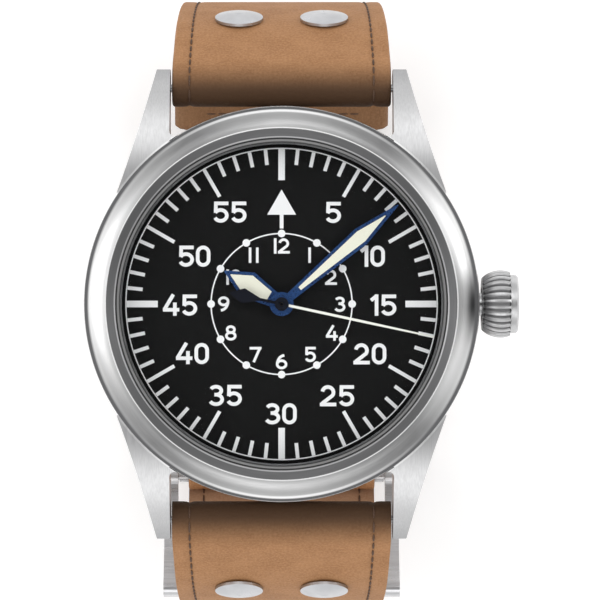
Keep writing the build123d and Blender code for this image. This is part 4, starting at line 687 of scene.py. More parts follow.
@dataclass(frozen=True)
class Leather(Finish):
    """Leather with nap, short wrinkles and pores, with painted shade at its folds and burnished
    cut sides.
    """

    colour: Colour
    light: Colour
    dark: Colour
    cut: Colour
    # Colour of the painted shade at the folds round the spring bars, next to the case.
    fold: Colour
    fold_shade_bands: Pair = (26.8, 22.7)
    fold_shade_heights: Pair = (-5.0, -3.5)
    cut_bands: Pair = (0.45, 0.8)
    even_share: float = 0.45
    wrinkle_share: float = 0.3
    patch_share: float = 0.35
    roughness: float = 0.66
    gloss_spread: float = 0.1
    relief: float = 0.07
    specular: float = 0.18
    relief_shares: tuple[tuple[str, float], ...] = (("Nap", 0.5), ("Wrinkle", 0.35),
                                                    ("Pores", 0.15))

    def build(self, graph: Graph, shader: bpy.types.Node) -> None:
        """Leather that follows the strip it was cut from."""
        flat = graph.add("UVMap", uv_map="flat").outputs[0]
        grain = effects.use(graph, Effect.GRAIN, flat, Scale=10.0)
        patches = effects.mask(graph, Effect.CLOUDS, flat, Scale=30.0)
        sides = graph.add("Attribute", attribute_name="cut_side").outputs["Fac"]
        # Painted shade where the strap folds round its spring bar, next to the case.
        fold = graph.product(
            graph.band(graph.maths("ABSOLUTE", graph.reach(1)), *self.fold_shade_bands),
            graph.band(graph.reach(2), *self.fold_shade_heights))
        toned = graph.layered(
            graph.mixed(grain["Nap"], self.dark, self.light), (self.even_share, self.colour),
            (graph.spread(grain["Wrinkle"], self.wrinkle_share, 0.0), self.dark),
            (graph.spread(patches, 0.0, self.patch_share), self.light), (fold, self.fold),
            (graph.band(sides, *self.cut_bands), self.cut))
        height: Feed = 0.0
        for name, share in self.relief_shares:
            height = graph.maths("ADD", height, graph.product(grain[name], share))
        graph.fill(shader, {
            "Base Color": toned,
            "Roughness": graph.spread(grain["Nap"], self.roughness + self.gloss_spread,
                                      self.roughness - self.gloss_spread),
            "Specular IOR Level": self.specular,
            "Normal": graph.bump(height, 0.5, self.relief)})


@dataclass(frozen=True)
class Thread(Finish):
    """Waxed sewing thread with its twist."""

    colour: Colour
    light: Colour
    roughness: float = 0.7
    relief: float = 0.03

    def build(self, graph: Graph, shader: bpy.types.Node) -> None:
        """Twisted strands in colour and relief."""
        wave = graph.add("TexWave", {"Vector": graph.place(), "Scale": 2600.0,
                                     "Distortion": 1.0}, bands_direction="DIAGONAL").outputs[1]
        graph.fill(shader, {"Base Color": graph.mixed(wave, self.colour, self.light),
                            "Roughness": self.roughness,
                            "Normal": graph.bump(wave, 0.4, self.relief)})


@dataclass(frozen=True)
class Paper(Finish):
    """The pale paper that the watch stands on, white to the eye."""

    colour: Colour
    glow: float
    fibre_share: float = 0.995
    roughness: float = 0.9

    def build(self, graph: Graph, shader: bpy.types.Node) -> None:
        """White paper that keeps the shadow."""
        fibre = effects.mask(graph, Effect.CLOUDS, Scale=900.0)
        pale = tuple(value * self.fibre_share for value in self.colour)
        path = graph.add("LightPath").outputs
        seen = graph.maths("MAXIMUM", path["Is Camera Ray"], graph.maths(
            "MAXIMUM", path["Is Glossy Ray"], path["Is Transmission Ray"]))
        graph.fill(shader, {
            "Base Color": graph.mixed(fibre, pale, self.colour), "Roughness": self.roughness,
            "Specular IOR Level": 0.0, "Emission Color": (1.0, 1.0, 1.0),
            "Emission Strength": graph.product(seen, self.glow)})


CASE_STEEL = CaseSteel("case_steel", (0.66, 0.66, 0.665), (0.55, 0.55, 0.555), Lines.ALONG_Y,
                       roughness=0.38, fineness=9000.0, relief=0.0015)
BACK_STEEL = BrushedMetal("back_steel", (0.68, 0.68, 0.685), (0.5, 0.5, 0.505), Lines.ROUND_Z,
                          roughness=0.34, fineness=4000.0)
# A dark base: the painted dark reflections between the bezel's painted highlight fans.
BEZEL_STEEL = BezelSteel("bezel_steel", (0.3, 0.3, 0.3), (0.21, 0.21, 0.212), Lines.ROUND_Z,
                         roughness=0.36, fineness=3600.0, relief=0.0015)
CROWN_STEEL = FlutedSteel("crown_steel", (0.58, 0.58, 0.585), (0.5, 0.5, 0.505), Lines.ROUND_X,
                          roughness=0.34, fineness=3000.0, relief=0.0003,
                          middle=(0.0, 0.0, 4.4))
RIVET_STEEL = SmoothMetal("rivet_steel", (0.5, 0.505, 0.52), (0.44, 0.445, 0.46), 0.3, 400.0)
BUCKLE_STEEL = BrushedMetal("buckle_steel", (0.7, 0.7, 0.71), (0.52, 0.52, 0.53), Lines.ALONG_X,
                            roughness=0.3, fineness=4500.0)
BAR_STEEL = SmoothMetal("bar_steel", (0.6, 0.6, 0.61), (0.48, 0.48, 0.49), 0.25)
NICKEL = BrushedMetal("nickel_plate", (0.72, 0.7, 0.66), (0.5, 0.49, 0.46), Lines.ALONG_X,
                      roughness=0.26, fineness=1800.0, relief=0.006)
GILT = BrushedMetal("gilt_brass", (0.79, 0.6, 0.28), (0.6, 0.42, 0.17), Lines.ROUND_Z,
                    roughness=0.28, fineness=3000.0)
GILT_ARBOR = GiltArbor("gilt_arbor", GILT.colour, GILT.shade, GILT.lines,
                       roughness=GILT.roughness, fineness=GILT.fineness)
WORK_STEEL = SmoothMetal("work_steel", (0.6, 0.6, 0.62), (0.45, 0.45, 0.47), 0.22, 1500.0)
HAND_BLUE = BluedSteel("hand_blue", (0.05, 0.13, 0.36), (0.036, 0.092, 0.28))
SEAL_RUBBER = Paint("seal_rubber", (0.03, 0.03, 0.03), (0.02, 0.02, 0.02), 0.7, 0.012, 4000.0)
CRYSTAL_SEAL = Paint("crystal_seal", (0.05, 0.05, 0.05), (0.035, 0.035, 0.035), 0.5, 0.006)
FLANGE_BLACK = Paint("flange_black", (0.005, 0.005, 0.005), (0.0035, 0.0035, 0.0035), 0.7,
                     0.003, specular=0.0)
DIAL_BLACK = Paint("dial_black", (0.0045, 0.0045, 0.0045), (0.0035, 0.0035, 0.0035), 0.6,
                   0.003, 11000.0, 0.1)
DIAL_PRINT = Paint("dial_print", (0.9, 0.9, 0.895), (0.87, 0.87, 0.865), 0.75, 0.004)
LUME = Paint("lume_cream", (0.85, 0.84, 0.7), (0.8, 0.79, 0.65), 0.85, 0.008, 6000.0)
NEEDLE = NeedlePaint("needle_cream", (0.9, 0.9, 0.82), (0.86, 0.86, 0.78), 0.6, 0.004,
                     specular=0.08)
CRYSTAL = CrystalGlass("crystal_glass", (0.99, 0.995, 1.0))
GROUND_GLASS = GroundGlass("ground_glass", (0.45, 0.45, 0.45), (0.39, 0.39, 0.39), 0.6, 0.002,
                           specular=0.0)
# Each leather's last colour is the painted shade at its folds.
STRAP_TAN = Leather("strap_tan", (0.42, 0.207, 0.091), (0.55, 0.295, 0.143),
                    (0.25, 0.113, 0.047), (0.15, 0.1, 0.075), (0.078, 0.04, 0.02))
# The keepers' leather is the strap's tan made darker: painted shade, for the keepers lie in
# shadow.
KEEPER_SHADED_TAN = Leather("keeper_shaded_tan", (0.225, 0.115, 0.053), (0.3, 0.165, 0.083),
                       (0.14, 0.064, 0.028), (0.1, 0.066, 0.05), (0.05, 0.03, 0.02))
LINING_TAN = Leather("lining_tan", (0.38, 0.21, 0.12), (0.46, 0.28, 0.17), (0.28, 0.14, 0.075),
                     (0.17, 0.11, 0.08), (0.075, 0.042, 0.025), relief=0.04)
THREAD_BROWN = Thread("thread_brown", (0.07, 0.036, 0.02), (0.12, 0.062, 0.034))
PAPER = Paper("white_paper", (0.9, 0.9, 0.9), 0.25)


# The metal, glass and painted pieces


@dataclass
class Packed:
    """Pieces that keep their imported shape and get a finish."""

    title: str
    nodes: dict[Finish, tuple[str, ...]]

    def build(self) -> None:
        """Gives each CAD node its finish."""
        for finish, names in self.nodes.items():
            for name in names:
                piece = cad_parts[name]
                if piece.material_slots:
                    piece.material_slots[0].material = finish.material()
                else:
                    piece.data.materials.append(finish.material())
                log.info("%s: %s in %s", self.title, name, finish.name)


CASE_WORK = Packed("case", {
    CASE_STEEL: ("case_middle",), BACK_STEEL: ("case_back",), BEZEL_STEEL: ("bezel",),
    CROWN_STEEL: ("crown",), CRYSTAL_SEAL: ("crystal_gasket",), FLANGE_BLACK: ("rehaut_ring",),
    SEAL_RUBBER: ("case_back_gasket", "crown_gasket"),
    BAR_STEEL: ("crown_tube", "winding_stem", "spring_bar_tubes", "spring_bar_tip_12_left",
                "spring_bar_tip_12_right", "spring_bar_tip_6_left", "spring_bar_tip_6_right")})
DIAL_WORK = Packed("dial", {
    DIAL_BLACK: ("dial",), DIAL_PRINT: ("dial_markings",), NEEDLE: ("seconds_hand",),
    HAND_BLUE: ("hour_hand", "minute_hand"), LUME: ("hour_hand_lume", "minute_hand_lume")})
MOVEMENT = Packed("movement", {
    NICKEL: ("main_plate", "movement_ring", "barrel_bridge", "train_bridge", "balance_cock"),
    GILT: ("barrel_drum", "centre_wheel", "third_wheel", "balance_wheel", "hour_wheel",
           "minute_wheel"),
    GILT_ARBOR: ("fourth_wheel",),
    WORK_STEEL: ("mainspring", "ratchet_wheel", "crown_wheel", "click", "cannon_pinion",
                 "escape_wheel", "pallet_fork", "hairspring", "setting_wheel",
                 "winding_pinion", "sliding_pinion", "setting_lever", "yoke",
                 "movement_screws")})
FITTINGS = Packed("fittings", {
    BUCKLE_STEEL: ("buckle_frame", "buckle_tongue"), BAR_STEEL: ("buckle_bar",),
    RIVET_STEEL: ("rivets_short", "rivets_long")})


def finished(name: str, mesh: bmesh.types.BMesh, *finishes: Finish,
             crease: float = 60.0) -> bpy.types.Object:
    """Turns a mesh in millimetres into a piece of the scene.

    Args:
        name: The piece's name.
        mesh: Its shape, freed here.
        finishes: Its finishes, in the order of its faces' numbers.
        crease: Angle in degrees from which an edge shades as a sharp one.

    Returns:
        The piece, at the origin.
    """
    bmesh.ops.scale(mesh, vec=(MM, MM, MM), verts=mesh.verts)
    bmesh.ops.recalc_face_normals(mesh, faces=mesh.faces)
    for face in mesh.faces:
        face.smooth = True
    for edge in mesh.edges:
        edge.smooth = edge.calc_face_angle(0.0) < math.radians(crease)
    data = bpy.data.meshes.new(name)
    mesh.to_mesh(data)
    mesh.free()
    for finish in finishes:
        data.materials.append(finish.material())
    piece = bpy.data.objects.new(name, data)
    bpy.context.scene.collection.objects.link(piece)
    log.info("%s: %d faces", name, len(data.polygons))
    return piece


@dataclass
class Crystal:
    """The domed crystal with its ground bevel."""

    radius: float = 17.5
    low: float = 8.67
    side_height: float = 9.95
    bevel_radius: float = 17.13
    bevel_height: float = 10.3
    dome_height: float = 10.6
    rings: int = 12
    turns: int = 180
    weld: float = 1e-4

    def profile(self) -> list[Pair]:
        """Points from the middle below, round the edge, to the middle above."""
        points = [(0.0, self.low), (self.radius, self.low), (self.radius, self.side_height)]
        rise = self.dome_height - self.bevel_height
        for index in range(self.rings + 1):
            share = 1 - index / self.rings
            height = self.bevel_height + rise * (1 - share * share)
            points.append((self.bevel_radius * share, height))
        return points

    def build(self) -> None:
        """Spins the crystal and gives its edge the ground finish."""
        mesh = bmesh.new()
        line = [mesh.verts.new((radius, 0, height)) for radius, height in self.profile()]
        edges = [mesh.edges.new(pair) for pair in zip(line, line[1:])]
        bmesh.ops.spin(mesh, geom=line + edges, cent=(0, 0, 0), axis=(0, 0, 1), dvec=(0, 0, 0),
                       angle=math.tau, steps=self.turns, use_merge=True)
        bmesh.ops.remove_doubles(mesh, verts=mesh.verts, dist=self.weld)
        for face in mesh.faces:
            middle = face.calc_center_median()
            outside = middle.xy.length > self.bevel_radius - TINY
            face.material_index = int(outside and middle.z > self.low + TINY)
        crystal = finished("crystal_lens", mesh, CRYSTAL, GROUND_GLASS, crease=20.0)
        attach(crystal, "case")
        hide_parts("crystal")


# The strap's routes


@dataclass(frozen=True)
class Station:
    """One point of a route, seen from the side, with its grain side and thickness."""

    place: Vector
    out: Vector
    thick: float


Lay = Callable[[float, Station, float], Vector]


class Route:
    """The way a layer of leather takes, seen from the side."""

    step: float = 0.25
    least_steps: int = 6
    least_run: float = 1e-4

    def __init__(self) -> None:
        """Starts without a point."""
        self.stations: list[Station] = []
        self.folds: list[Pair] = []
        self.distances: list[float] = []
        self.marks: dict[str, float] = {}

    @property
    def length(self) -> float:
        """Length so far."""
        return self.distances[-1] if self.distances else 0.0

    def stop(self, place: Sequence[float], out: Vector, thick: float) -> None:
        """Goes straight to a point."""
        place, run = Vector(place), 0.0
        if self.stations:
            run = (place - self.stations[-1].place).length
            if run < self.least_run:
                return
        self.distances.append(self.length + run)
        self.stations.append(Station(place, out.normalized(), thick))

    def bend(self, centre: Pair, radius: float, start: float, end: float, lift: Pair,
             thick: Pair, facing: int = 1) -> None:
        """Goes round a bend.

        Args:
            centre: Middle of the bend.
            radius: Radius of the strap's middle line.
            start: Direction from the middle at the start, in degrees.
            end: The same at the end.
            lift: How far outside the middle line the layer lies, at both ends.
            thick: Thickness at both ends.
            facing: 1 if the grain faces out of the bend, -1 if it faces the middle.
        """
        sweep = math.radians(abs(end - start)) * (radius + max(map(abs, lift)))
        count = max(self.least_steps, math.ceil(sweep / self.step))
        if radius == 0:
            self.folds.append((self.length, sweep))
        for index in range(count + 1):
            share = index / count
            way = heading(between(start, end, share))
            reach = radius + between(*lift, eased(share))
            self.stop(Vector(centre) + way * reach, way * facing,
                      between(*thick, eased(share)))

    def mark(self, name: str) -> None:
        """Remembers how far the route has come."""
        self.marks[name] = self.length

    def at(self, distance: float) -> Station:
        """The point, grain side and thickness at a distance."""
        distance = min(max(distance, 0.0), self.length)
        low = min(bisect_right(self.distances, distance), len(self.distances) - 1) - 1
        run = self.distances[low + 1] - self.distances[low]
        share = (distance - self.distances[low]) / run
        first, second = self.stations[low], self.stations[low + 1]
        return Station(first.place.lerp(second.place, share),
                       first.out.lerp(second.out, share).normalized(),
                       between(first.thick, second.thick, share))


@dataclass(frozen=True)
class StrapPlan:
    """Places that the whole strap is made from, as the frame has them."""

    bar: Pair = (23.3, 2.3)
    root_centre: Pair = (12.402, -13.264)
    root_radius: float = 19.0
    side_centre: Pair = (-12.970, -22.498)
    side_radius: float = 46.0
    front_corner: Pair = (18.997, -26.965)
    front_radius: float = 14.033
    back_corner: Pair = (-13.080, -23.998)
    back_radius: float = 17.0
    long_radius: float = 19.95
    pin: Pair = (-20.4, -39.00885)
    pin_angle: float = -115.996
    pin_lift: float = 0.3
    flex_pin: Pair = (26.2, -39.00885)
    flex_angle: float = -59.118
    root_angles: Pair = (55.0, 20.0)
    flap_angle: float = 27.0
    lining_angle: float = 26.6
    settle_angle: float = 38.0
    wrap_radius: float = 1.4
    wrap_thick: float = 1.2
    pin_wrap_radius: float = 1.2
    pin_wrap_thick: float = 0.8
    layer: float = 1.32
    layer_lift: float = 0.72
    lining_gap: float = 0.25
    half_width: float = 11.0
    half_width_top: float = 11.8
    tail_tip_angle: float = -61.5
    tail_lifts: Pair = (3.34, 2.16)
    tail_layer: float = 1.14
    long_offset: float = 2.95
    slot_angles: Pair = (-151.0, -123.0)
    hole_places: tuple[float, ...] = (-5.5, 1.0, 7.5, 14.0)
    stitch_line: float = 9.25

    def width_share(self, height: float) -> float:
        """Half width at a height, as a share of the narrow end's."""
        low = self.side_centre[1]
        share = (height - low) / (self.bar[1] - low)
        wide = between(self.half_width, self.half_width_top, min(max(share, 0.0), 1.0))
        return wide / self.half_width


PLAN = StrapPlan()


class Layer(Enum):
    """The two layers of the strap."""

    GRAIN = 0
    LINING = 1


class StrapRoute(Route):
    """The way of one layer of a half, which starts at a spring bar."""

    def __init__(self, layer: Layer, side: int) -> None:
        """Goes from the folded end down the side of the loop.

        Args:
            layer: Outer leather, folded round the bar, or the lining.
            side: 1 for the half at 12 o'clock, -1 for the half at 6.
        """
        super().__init__()
        self.facing = 1 if layer is Layer.GRAIN else -1
        self.lift = PLAN.layer_lift * self.facing
        self.thick = PLAN.layer
        (root, knee), settle = PLAN.root_angles, PLAN.settle_angle
        if layer is Layer.GRAIN:
            wrap, wrap_thick = PLAN.wrap_radius, PLAN.wrap_thick
            self._upper(side, PLAN.root_centre, PLAN.root_radius, PLAN.flap_angle, root,
                        (-self.lift, -wrap), (self.thick, wrap_thick), -1)
            self._upper(side, PLAN.bar, 0.0, root + 180, root, (wrap, wrap),
                        (wrap_thick, wrap_thick))
            self.mark("fold")
            self._upper(side, PLAN.root_centre, PLAN.root_radius, root, settle,
                        (wrap, self.lift), (wrap_thick, self.thick))
        else:
            settle = PLAN.lining_angle
        even = ((self.lift, self.lift), (self.thick, self.thick), self.facing)
        self._upper(side, PLAN.root_centre, PLAN.root_radius, settle, knee, *even)
        self._upper(side, PLAN.side_centre, PLAN.side_radius, knee, 0, *even)

    def _upper(self, side: int, centre: Pair, radius: float, start: float, end: float,
               *rest: object) -> None:
        """Goes round a bend of the upper strap, mirrored for the half at 6 o'clock.

        Args:
            side: 1 for the half at 12 o'clock, -1 for the half at 6.
            centre: Middle of the bend at 12 o'clock.
            radius: Radius of the strap's middle line.
            start: Direction from the middle at the start, in degrees, at 12 o'clock.
            end: The same at the end.
            rest: Lift, thickness and facing, as for any bend.
        """
        if side < 0:
            centre, start, end = (-centre[0], centre[1]), 180 - start, 180 - end
        self.bend(centre, radius, start, end, *rest)

    def even(self, centre: Pair, radius: float, start: float, end: float) -> None:
        """Goes round a bend with the layer's own lift and thickness."""
        self.bend(centre, radius, start, end, (self.lift, self.lift), (self.thick, self.thick),
                  self.facing)


def short_route(layer: Layer) -> StrapRoute:
    """The short half, from 12 o'clock round to the buckle.

    Args:
        layer: Outer leather, folded round both bars, or the lining between its ends.

    Returns:
        The layer's route.
    """
    plan, route = PLAN, StrapRoute(layer, 1)
    route.even(plan.front_corner, plan.front_radius, 0, plan.flex_angle)
    route.mark("flex")
    route.even(plan.front_corner, plan.front_radius, plan.flex_angle, -90)
    if layer is Layer.LINING:
        low = plan.front_corner[1] - plan.front_radius - route.lift
        route.stop((plan.back_corner[0] + plan.lining_gap, low), heading(90), route.thick)
        return route
    wrap, wrap_thick = plan.pin_wrap_radius, plan.pin_wrap_thick
    route.bend(plan.back_corner, plan.back_radius, -90, plan.pin_angle,
               (route.lift, wrap - plan.pin_lift), (route.thick, wrap_thick))
    route.mark("pin")
    route.bend(plan.pin, 0.0, plan.pin_angle, plan.pin_angle - 180, (wrap, wrap),
               (wrap_thick, wrap_thick))
    route.mark("pin_end")
    route.bend(plan.back_corner, plan.back_radius, plan.pin_angle, -90,
               (-wrap - plan.pin_lift, -route.lift), (wrap_thick, route.thick), -1)
    return route


def long_route(layer: Layer) -> StrapRoute:
    """The long half, from 6 o'clock past the buckle to its tip.

    Args:
        layer: Outer leather, folded round its bar, or the lining.

    Returns:
        The layer's route.
    """
    plan, route = PLAN, StrapRoute(layer, -1)
    angles = (-180, *plan.slot_angles, plan.pin_angle)
    for start, end, name in zip(angles, angles[1:], ("slot_start", "slot_end", "flex")):
        route.even(plan.back_corner, plan.long_radius, start, end)
        route.mark(name)
    tail, thick = plan.tail_lifts[layer.value], plan.tail_layer
    route.bend(plan.back_corner, plan.back_radius, plan.pin_angle, -90,
               (plan.long_offset + route.lift, tail), (route.thick, thick), route.facing)
    low = plan.back_corner[1] - plan.back_radius - tail
    for index, place in enumerate(plan.hole_places):
        route.stop((place, low), heading(-90) * route.facing, thick)
        route.mark(f"hole_{index}")
    route.bend(plan.front_corner, plan.front_radius, -90, plan.tail_tip_angle, (tail, tail),
               (thick, thick), route.facing)
    return route


# The strap's leather and thread


class LeatherStrip:
    """A flat strip of leather that is cut, thickened, grooved and bent along a route."""

    half_columns: tuple[float, ...] = (0.0, 0.5, 1.0, 1.3, 2.4, 4.0, 5.6, 7.0, 8.0, 8.6, 8.95,
                                       9.25, 9.55, 9.9, 10.5, 11.0)
    row_step: float = 0.7
    fold_step: float = 0.36
    least_gap: float = 0.12
    mark_room: float = 0.45
    hole_radius: float = 1.0
    slot_half_width: float = 1.3
    slot_end_share: float = 0.8
    cut_room: float = 1.01
    edge_round: float = 0.3
    sharp_from: float = 1.0
    groove_depth: float = 0.13
    groove_width: float = 0.24
    groove_above: float = 0.3
    tip_radius: float = 5.5
    tip_reach: float = 8.0
    flat_scale: float = 0.01

    def __init__(self, route: Route, columns: Sequence[float] | None = None) -> None:
        """Cuts the plain strip.

        Args:
            route: The way that the strip will take.
            columns: Places of its lengthwise lines, or None for a strap's own.
        """
        self.route = route
        if columns is None:
            half = self.half_columns
            columns = [-value for value in reversed(half[1:])] + list(half)
        rows = self._rows()
        across, along = len(columns) - 1, len(rows) - 1
        self.mesh = bmesh.new()
        bmesh.ops.create_grid(self.mesh, x_segments=across, y_segments=along, size=1.0)
        for vertex in self.mesh.verts:
            vertex.co = (columns[round((vertex.co.x + 1) / 2 * across)],
                         rows[round((vertex.co.y + 1) / 2 * along)], 0.0)

    def _rows(self) -> list[float]:
        """Places of the crosswise lines, finer at holes and at the slot's ends."""
        route, wanted = self.route, []
        for name, place in route.marks.items():
            if name.startswith("hole"):
                wanted += [place + share * self.hole_radius for share in (-1, -0.5, 0, 0.5, 1)]
            elif name.startswith("slot"):
                inner = 1 if name == "slot_start" else -1
                wanted += [place, place + inner * self.slot_half_width]
        count = round(route.length / self.row_step)
        plain = [route.length * index / count for index in range(count + 1)]
        for start, sweep in route.folds:
            plain = [row for row in plain if not start < row < start + sweep]
            fine = math.ceil(sweep / self.fold_step)
            plain += [start + sweep * index / fine for index in range(fine + 1)]
        plain.sort()
        kept: list[float] = []
        for row in plain[1:-1]:
            clear = all(abs(row - mark) > self.row_step * self.mark_room for mark in wanted)
            inside = self.least_gap < row < route.length - self.least_gap
            if clear and inside and (not kept or row - kept[-1] > self.least_gap):
                kept.append(row)
        return sorted([0.0, *kept, *wanted, route.length])

    def open(self, reach: float, start: float, end: float) -> None:
        """Takes the faces out of a gap in the strip's middle.

        Args:
            reach: How far the gap goes to both sides.
            start: Where it starts along the strip.
            end: Where it ends.
        """
        middles = [(face, face.calc_center_median()) for face in self.mesh.faces]
        inside = [face for face, middle in middles
                  if abs(middle.x) < reach and start < middle.y < end]
        bmesh.ops.delete(self.mesh, geom=inside, context="FACES")

    def cut_holes(self) -> None:
        """Cuts the round holes for the tongue."""
        reach = self.hole_radius * self.cut_room
        for name, place in self.route.marks.items():
            if not name.startswith("hole"):
                continue
            self.open(reach, place - reach, place + reach)
            for vertex in self.mesh.verts:
                away = Vector((vertex.co.x, vertex.co.y - place))
                if max(abs(away.x), abs(away.y)) < reach:
                    away = away.normalized() * self.hole_radius
                    vertex.co = (away.x, place + away.y, 0.0)

    def cut_slot(self) -> None:
        """Cuts the slot that the tongue comes through, with round ends."""
        half, reach = self.slot_half_width, self.slot_half_width * self.cut_room
        start, end = self.route.marks["slot_start"], self.route.marks["slot_end"]
        self.open(reach, start, end)
        for vertex in self.mesh.verts:
            if abs(vertex.co.x) > reach:
                continue
            inset = half - math.sqrt(max(half ** 2 - vertex.co.x ** 2, 0.0))
            for place, inwards in ((start, 1), (end, -1)):
                if abs(vertex.co.y - place) < TINY:
                    vertex.co.y += inwards * inset * self.slot_end_share
                    break

    def round_tip(self) -> None:
        """Rounds the corners at the far end."""
        start, radius = self.route.length - self.tip_reach, self.tip_radius
        for vertex in self.mesh.verts:
            if vertex.co.y <= start:
                continue
            aside = max(abs(vertex.co.x) - (PLAN.half_width - radius), 0.0)
            drop = radius - math.sqrt(max(radius ** 2 - aside ** 2, 0.0))
            share = (vertex.co.y - start) / self.tip_reach
            vertex.co.y = start + share * (self.tip_reach - drop)

    def thicken(self) -> None:
        """Gives the strip one unit of thickness, rounds its edges and marks its cut sides."""
        mesh = self.mesh
        made = bmesh.ops.extrude_face_region(mesh, geom=mesh.faces[:], use_keep_orig=True)
        raised = [item for item in made["geom"] if isinstance(item, bmesh.types.BMVert)]
        bmesh.ops.translate(mesh, vec=(0, 0, 1), verts=raised)
        bmesh.ops.translate(mesh, vec=(0, 0, -0.5), verts=mesh.verts)
        bmesh.ops.recalc_face_normals(mesh, faces=mesh.faces)
        sharp = [edge for edge in mesh.edges if edge.calc_face_angle(0.0) > self.sharp_from
                 and abs(edge.verts[0].co.z - edge.verts[1].co.z) < 0.1]
        bmesh.ops.bevel(mesh, geom=sharp, offset=self.edge_round, offset_type="OFFSET",
                        affect="EDGES", segments=3, profile=0.5, material=-1,
                        clamp_overlap=True)
        mesh.normal_update()
        sides = mesh.verts.layers.float.new("cut_side")
        for vertex in mesh.verts:
            vertex[sides] = 1 - abs(vertex.normal.z)
        flat = mesh.loops.layers.uv.new("flat")
        for face in mesh.faces:
            for loop in face.loops:
                loop[flat].uv = loop.vert.co.xy * self.flat_scale

    def groove(self, place: float) -> None:
        """Presses the stitching grooves into the grain side."""
        for vertex in self.mesh.verts:
            if vertex.co.z >= self.groove_above:
                away = (abs(vertex.co.x) - place) / self.groove_width
                vertex.co.z -= self.groove_depth * math.exp(-away * away)

    def bent(self, lay: Lay) -> bmesh.types.BMesh:
        """Bends the strip along its route.

        Args:
            lay: Gives a point's place from its place across, its station and its height.

        Returns:
            The bent mesh.
        """
        for vertex in self.mesh.verts:
            station = self.route.at(vertex.co.y)
            vertex.co = lay(vertex.co.x, station, vertex.co.z * station.thick)
        return self.mesh


def lay_strap(across: float, station: Station, height: float) -> Vector:
    """A strap point's place, from its place across, its station and its height."""
    place = station.place + station.out * height
    return Vector((across * PLAN.width_share(station.place.y), place.x, place.y))


@dataclass
class Stitching:
    """Runs of stitches, sewn into one mesh along routes."""

    mesh: bmesh.types.BMesh = field(default_factory=bmesh.new)
    lay: Lay = lay_strap
    pitch: float = 1.3
    length: float = 1.12
    width: float = 0.24
    height: float = 0.26
    sunk: float = 0.08

    def stitch(self, route: Route, across: float, along: float, crosswise: bool) -> None:
        """Makes one stitch on the grain side.

        Args:
            route: The strip's route.
            across: The stitch's middle across the strip.
            along: Its middle along the strip.
            crosswise: Whether it lies across the strip.
        """
        made = bmesh.ops.create_uvsphere(self.mesh, u_segments=6, v_segments=4, radius=0.5)
        for vertex in made["verts"]:
            side, up, forth = vertex.co
            aside, ahead = side * self.width, forth * self.length
            if crosswise:
                aside, ahead = ahead, aside
            station = route.at(along + ahead)
            vertex.co = self.lay(across + aside, station,
                                 station.thick / 2 - self.sunk + up * self.height)

    def sew(self, route: Route, lines: Iterable[float], start: float, end: float) -> None:
        """Sews lines along a route.

        Args:
            route: The strip's route.
            lines: Places of the lines across the strip.
            start: Where the lines start along it.
            end: Where they end.
        """
        for line in lines:
            for index in range(int((end - start) / self.pitch)):
                self.stitch(route, line, start + (index + 0.5) * self.pitch, False)

    def sew_across(self, route: Route, along: float, reach: float) -> None:
        """Sews one line across a strip.

        Args:
            route: The strip's route.
            along: Where the line lies along it.
            reach: How far it goes to both sides.
        """
        count = int(2 * reach / self.pitch)
        for index in range(count):
            self.stitch(route, (index + 0.5 - count / 2) * self.pitch, along, True)


@dataclass
class HalfStrap:
    """One half of the riveted leather strap: leather, lining and stitches.

    Its name starts the names of its pieces. The stitches' ends are distances
    along the routes. The flap is the folded end's, and the gap is cut out of the leather for
    the tongue's eye.
    """

    name: str
    grain: StrapRoute
    lining: StrapRoute
    grain_end: float
    lining_end: float
    hinge: Pair
    hinge_angle: float
    nodes: tuple[str, str]
    gap: Pair | None = None
    blend_reach: float = 3.0
    fold_lead: float = 2.2
    lining_start: float = 0.3
    flap_ends: Pair = (0.5, 8.0)
    flap_line: float = 1.2

    def strip(self, layer: str, route: StrapRoute, finish: Finish,
              gap: Pair | None = None) -> bpy.types.Object:
        """Makes one layer.

        Args:
            layer: The end of the piece's name.
            route: The layer's route. One with a slot is also holed and has a round tip.
            finish: Its leather.
            gap: Start and end of the gap for the tongue's eye, or None.

        Returns:
            The piece.
        """
        strip = LeatherStrip(route)
        if "slot_start" in route.marks:
            strip.cut_slot()
            strip.cut_holes()
            strip.round_tip()
        if gap is not None:
            strip.open(strip.slot_half_width * strip.cut_room, *gap)
        strip.thicken()
        strip.groove(PLAN.stitch_line)
        return finished(f"{self.name}_{layer}", strip.bent(lay_strap), finish)

    def build(self) -> None:
        """Makes the layers and stitches, fixed where they are, and hides the frame's strap nodes.
        """
        outer = self.strip("leather", self.grain, STRAP_TAN, self.gap)
        inner = self.strip("lining", self.lining, LINING_TAN)
        thread, lines = Stitching(), (-PLAN.stitch_line, PLAN.stitch_line)
        thread.sew(self.grain, lines, self.grain.marks["fold"] - self.fold_lead, self.grain_end)
        thread.sew(self.lining, lines, self.lining_start, self.lining_end)
        thread.sew(self.grain, lines, *self.flap_ends)
        thread.sew_across(self.grain, self.flap_line, PLAN.stitch_line)
        stitches = finished(f"{self.name}_stitches", thread.mesh, THREAD_BROWN)
        way = heading(self.hinge_angle - 90) * self.blend_reach
        start, end = (Vector((0, *(Vector(self.hinge) + step))) * MM for step in (-way, way))
        for piece in (outer, inner, stitches):
            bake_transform(piece)
        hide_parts(*self.nodes)


def short_half() -> HalfStrap:
    """The half between 12 o'clock and the buckle.

    Returns:
        The half, still to be built.
    """
    grain, lining = short_route(Layer.GRAIN), short_route(Layer.LINING)
    eye_before, eye_after, flex_gap, end_gap = 1.4, 2.6, 0.5, 0.3
    return HalfStrap("strap_short", grain, lining, grain.marks["flex"] - flex_gap,
                     lining.length - end_gap, PLAN.flex_pin, PLAN.flex_angle,
                     ("strap_short_upper", "strap_short_lower"),
                     (grain.marks["pin"] - eye_before, grain.marks["pin_end"] + eye_after))


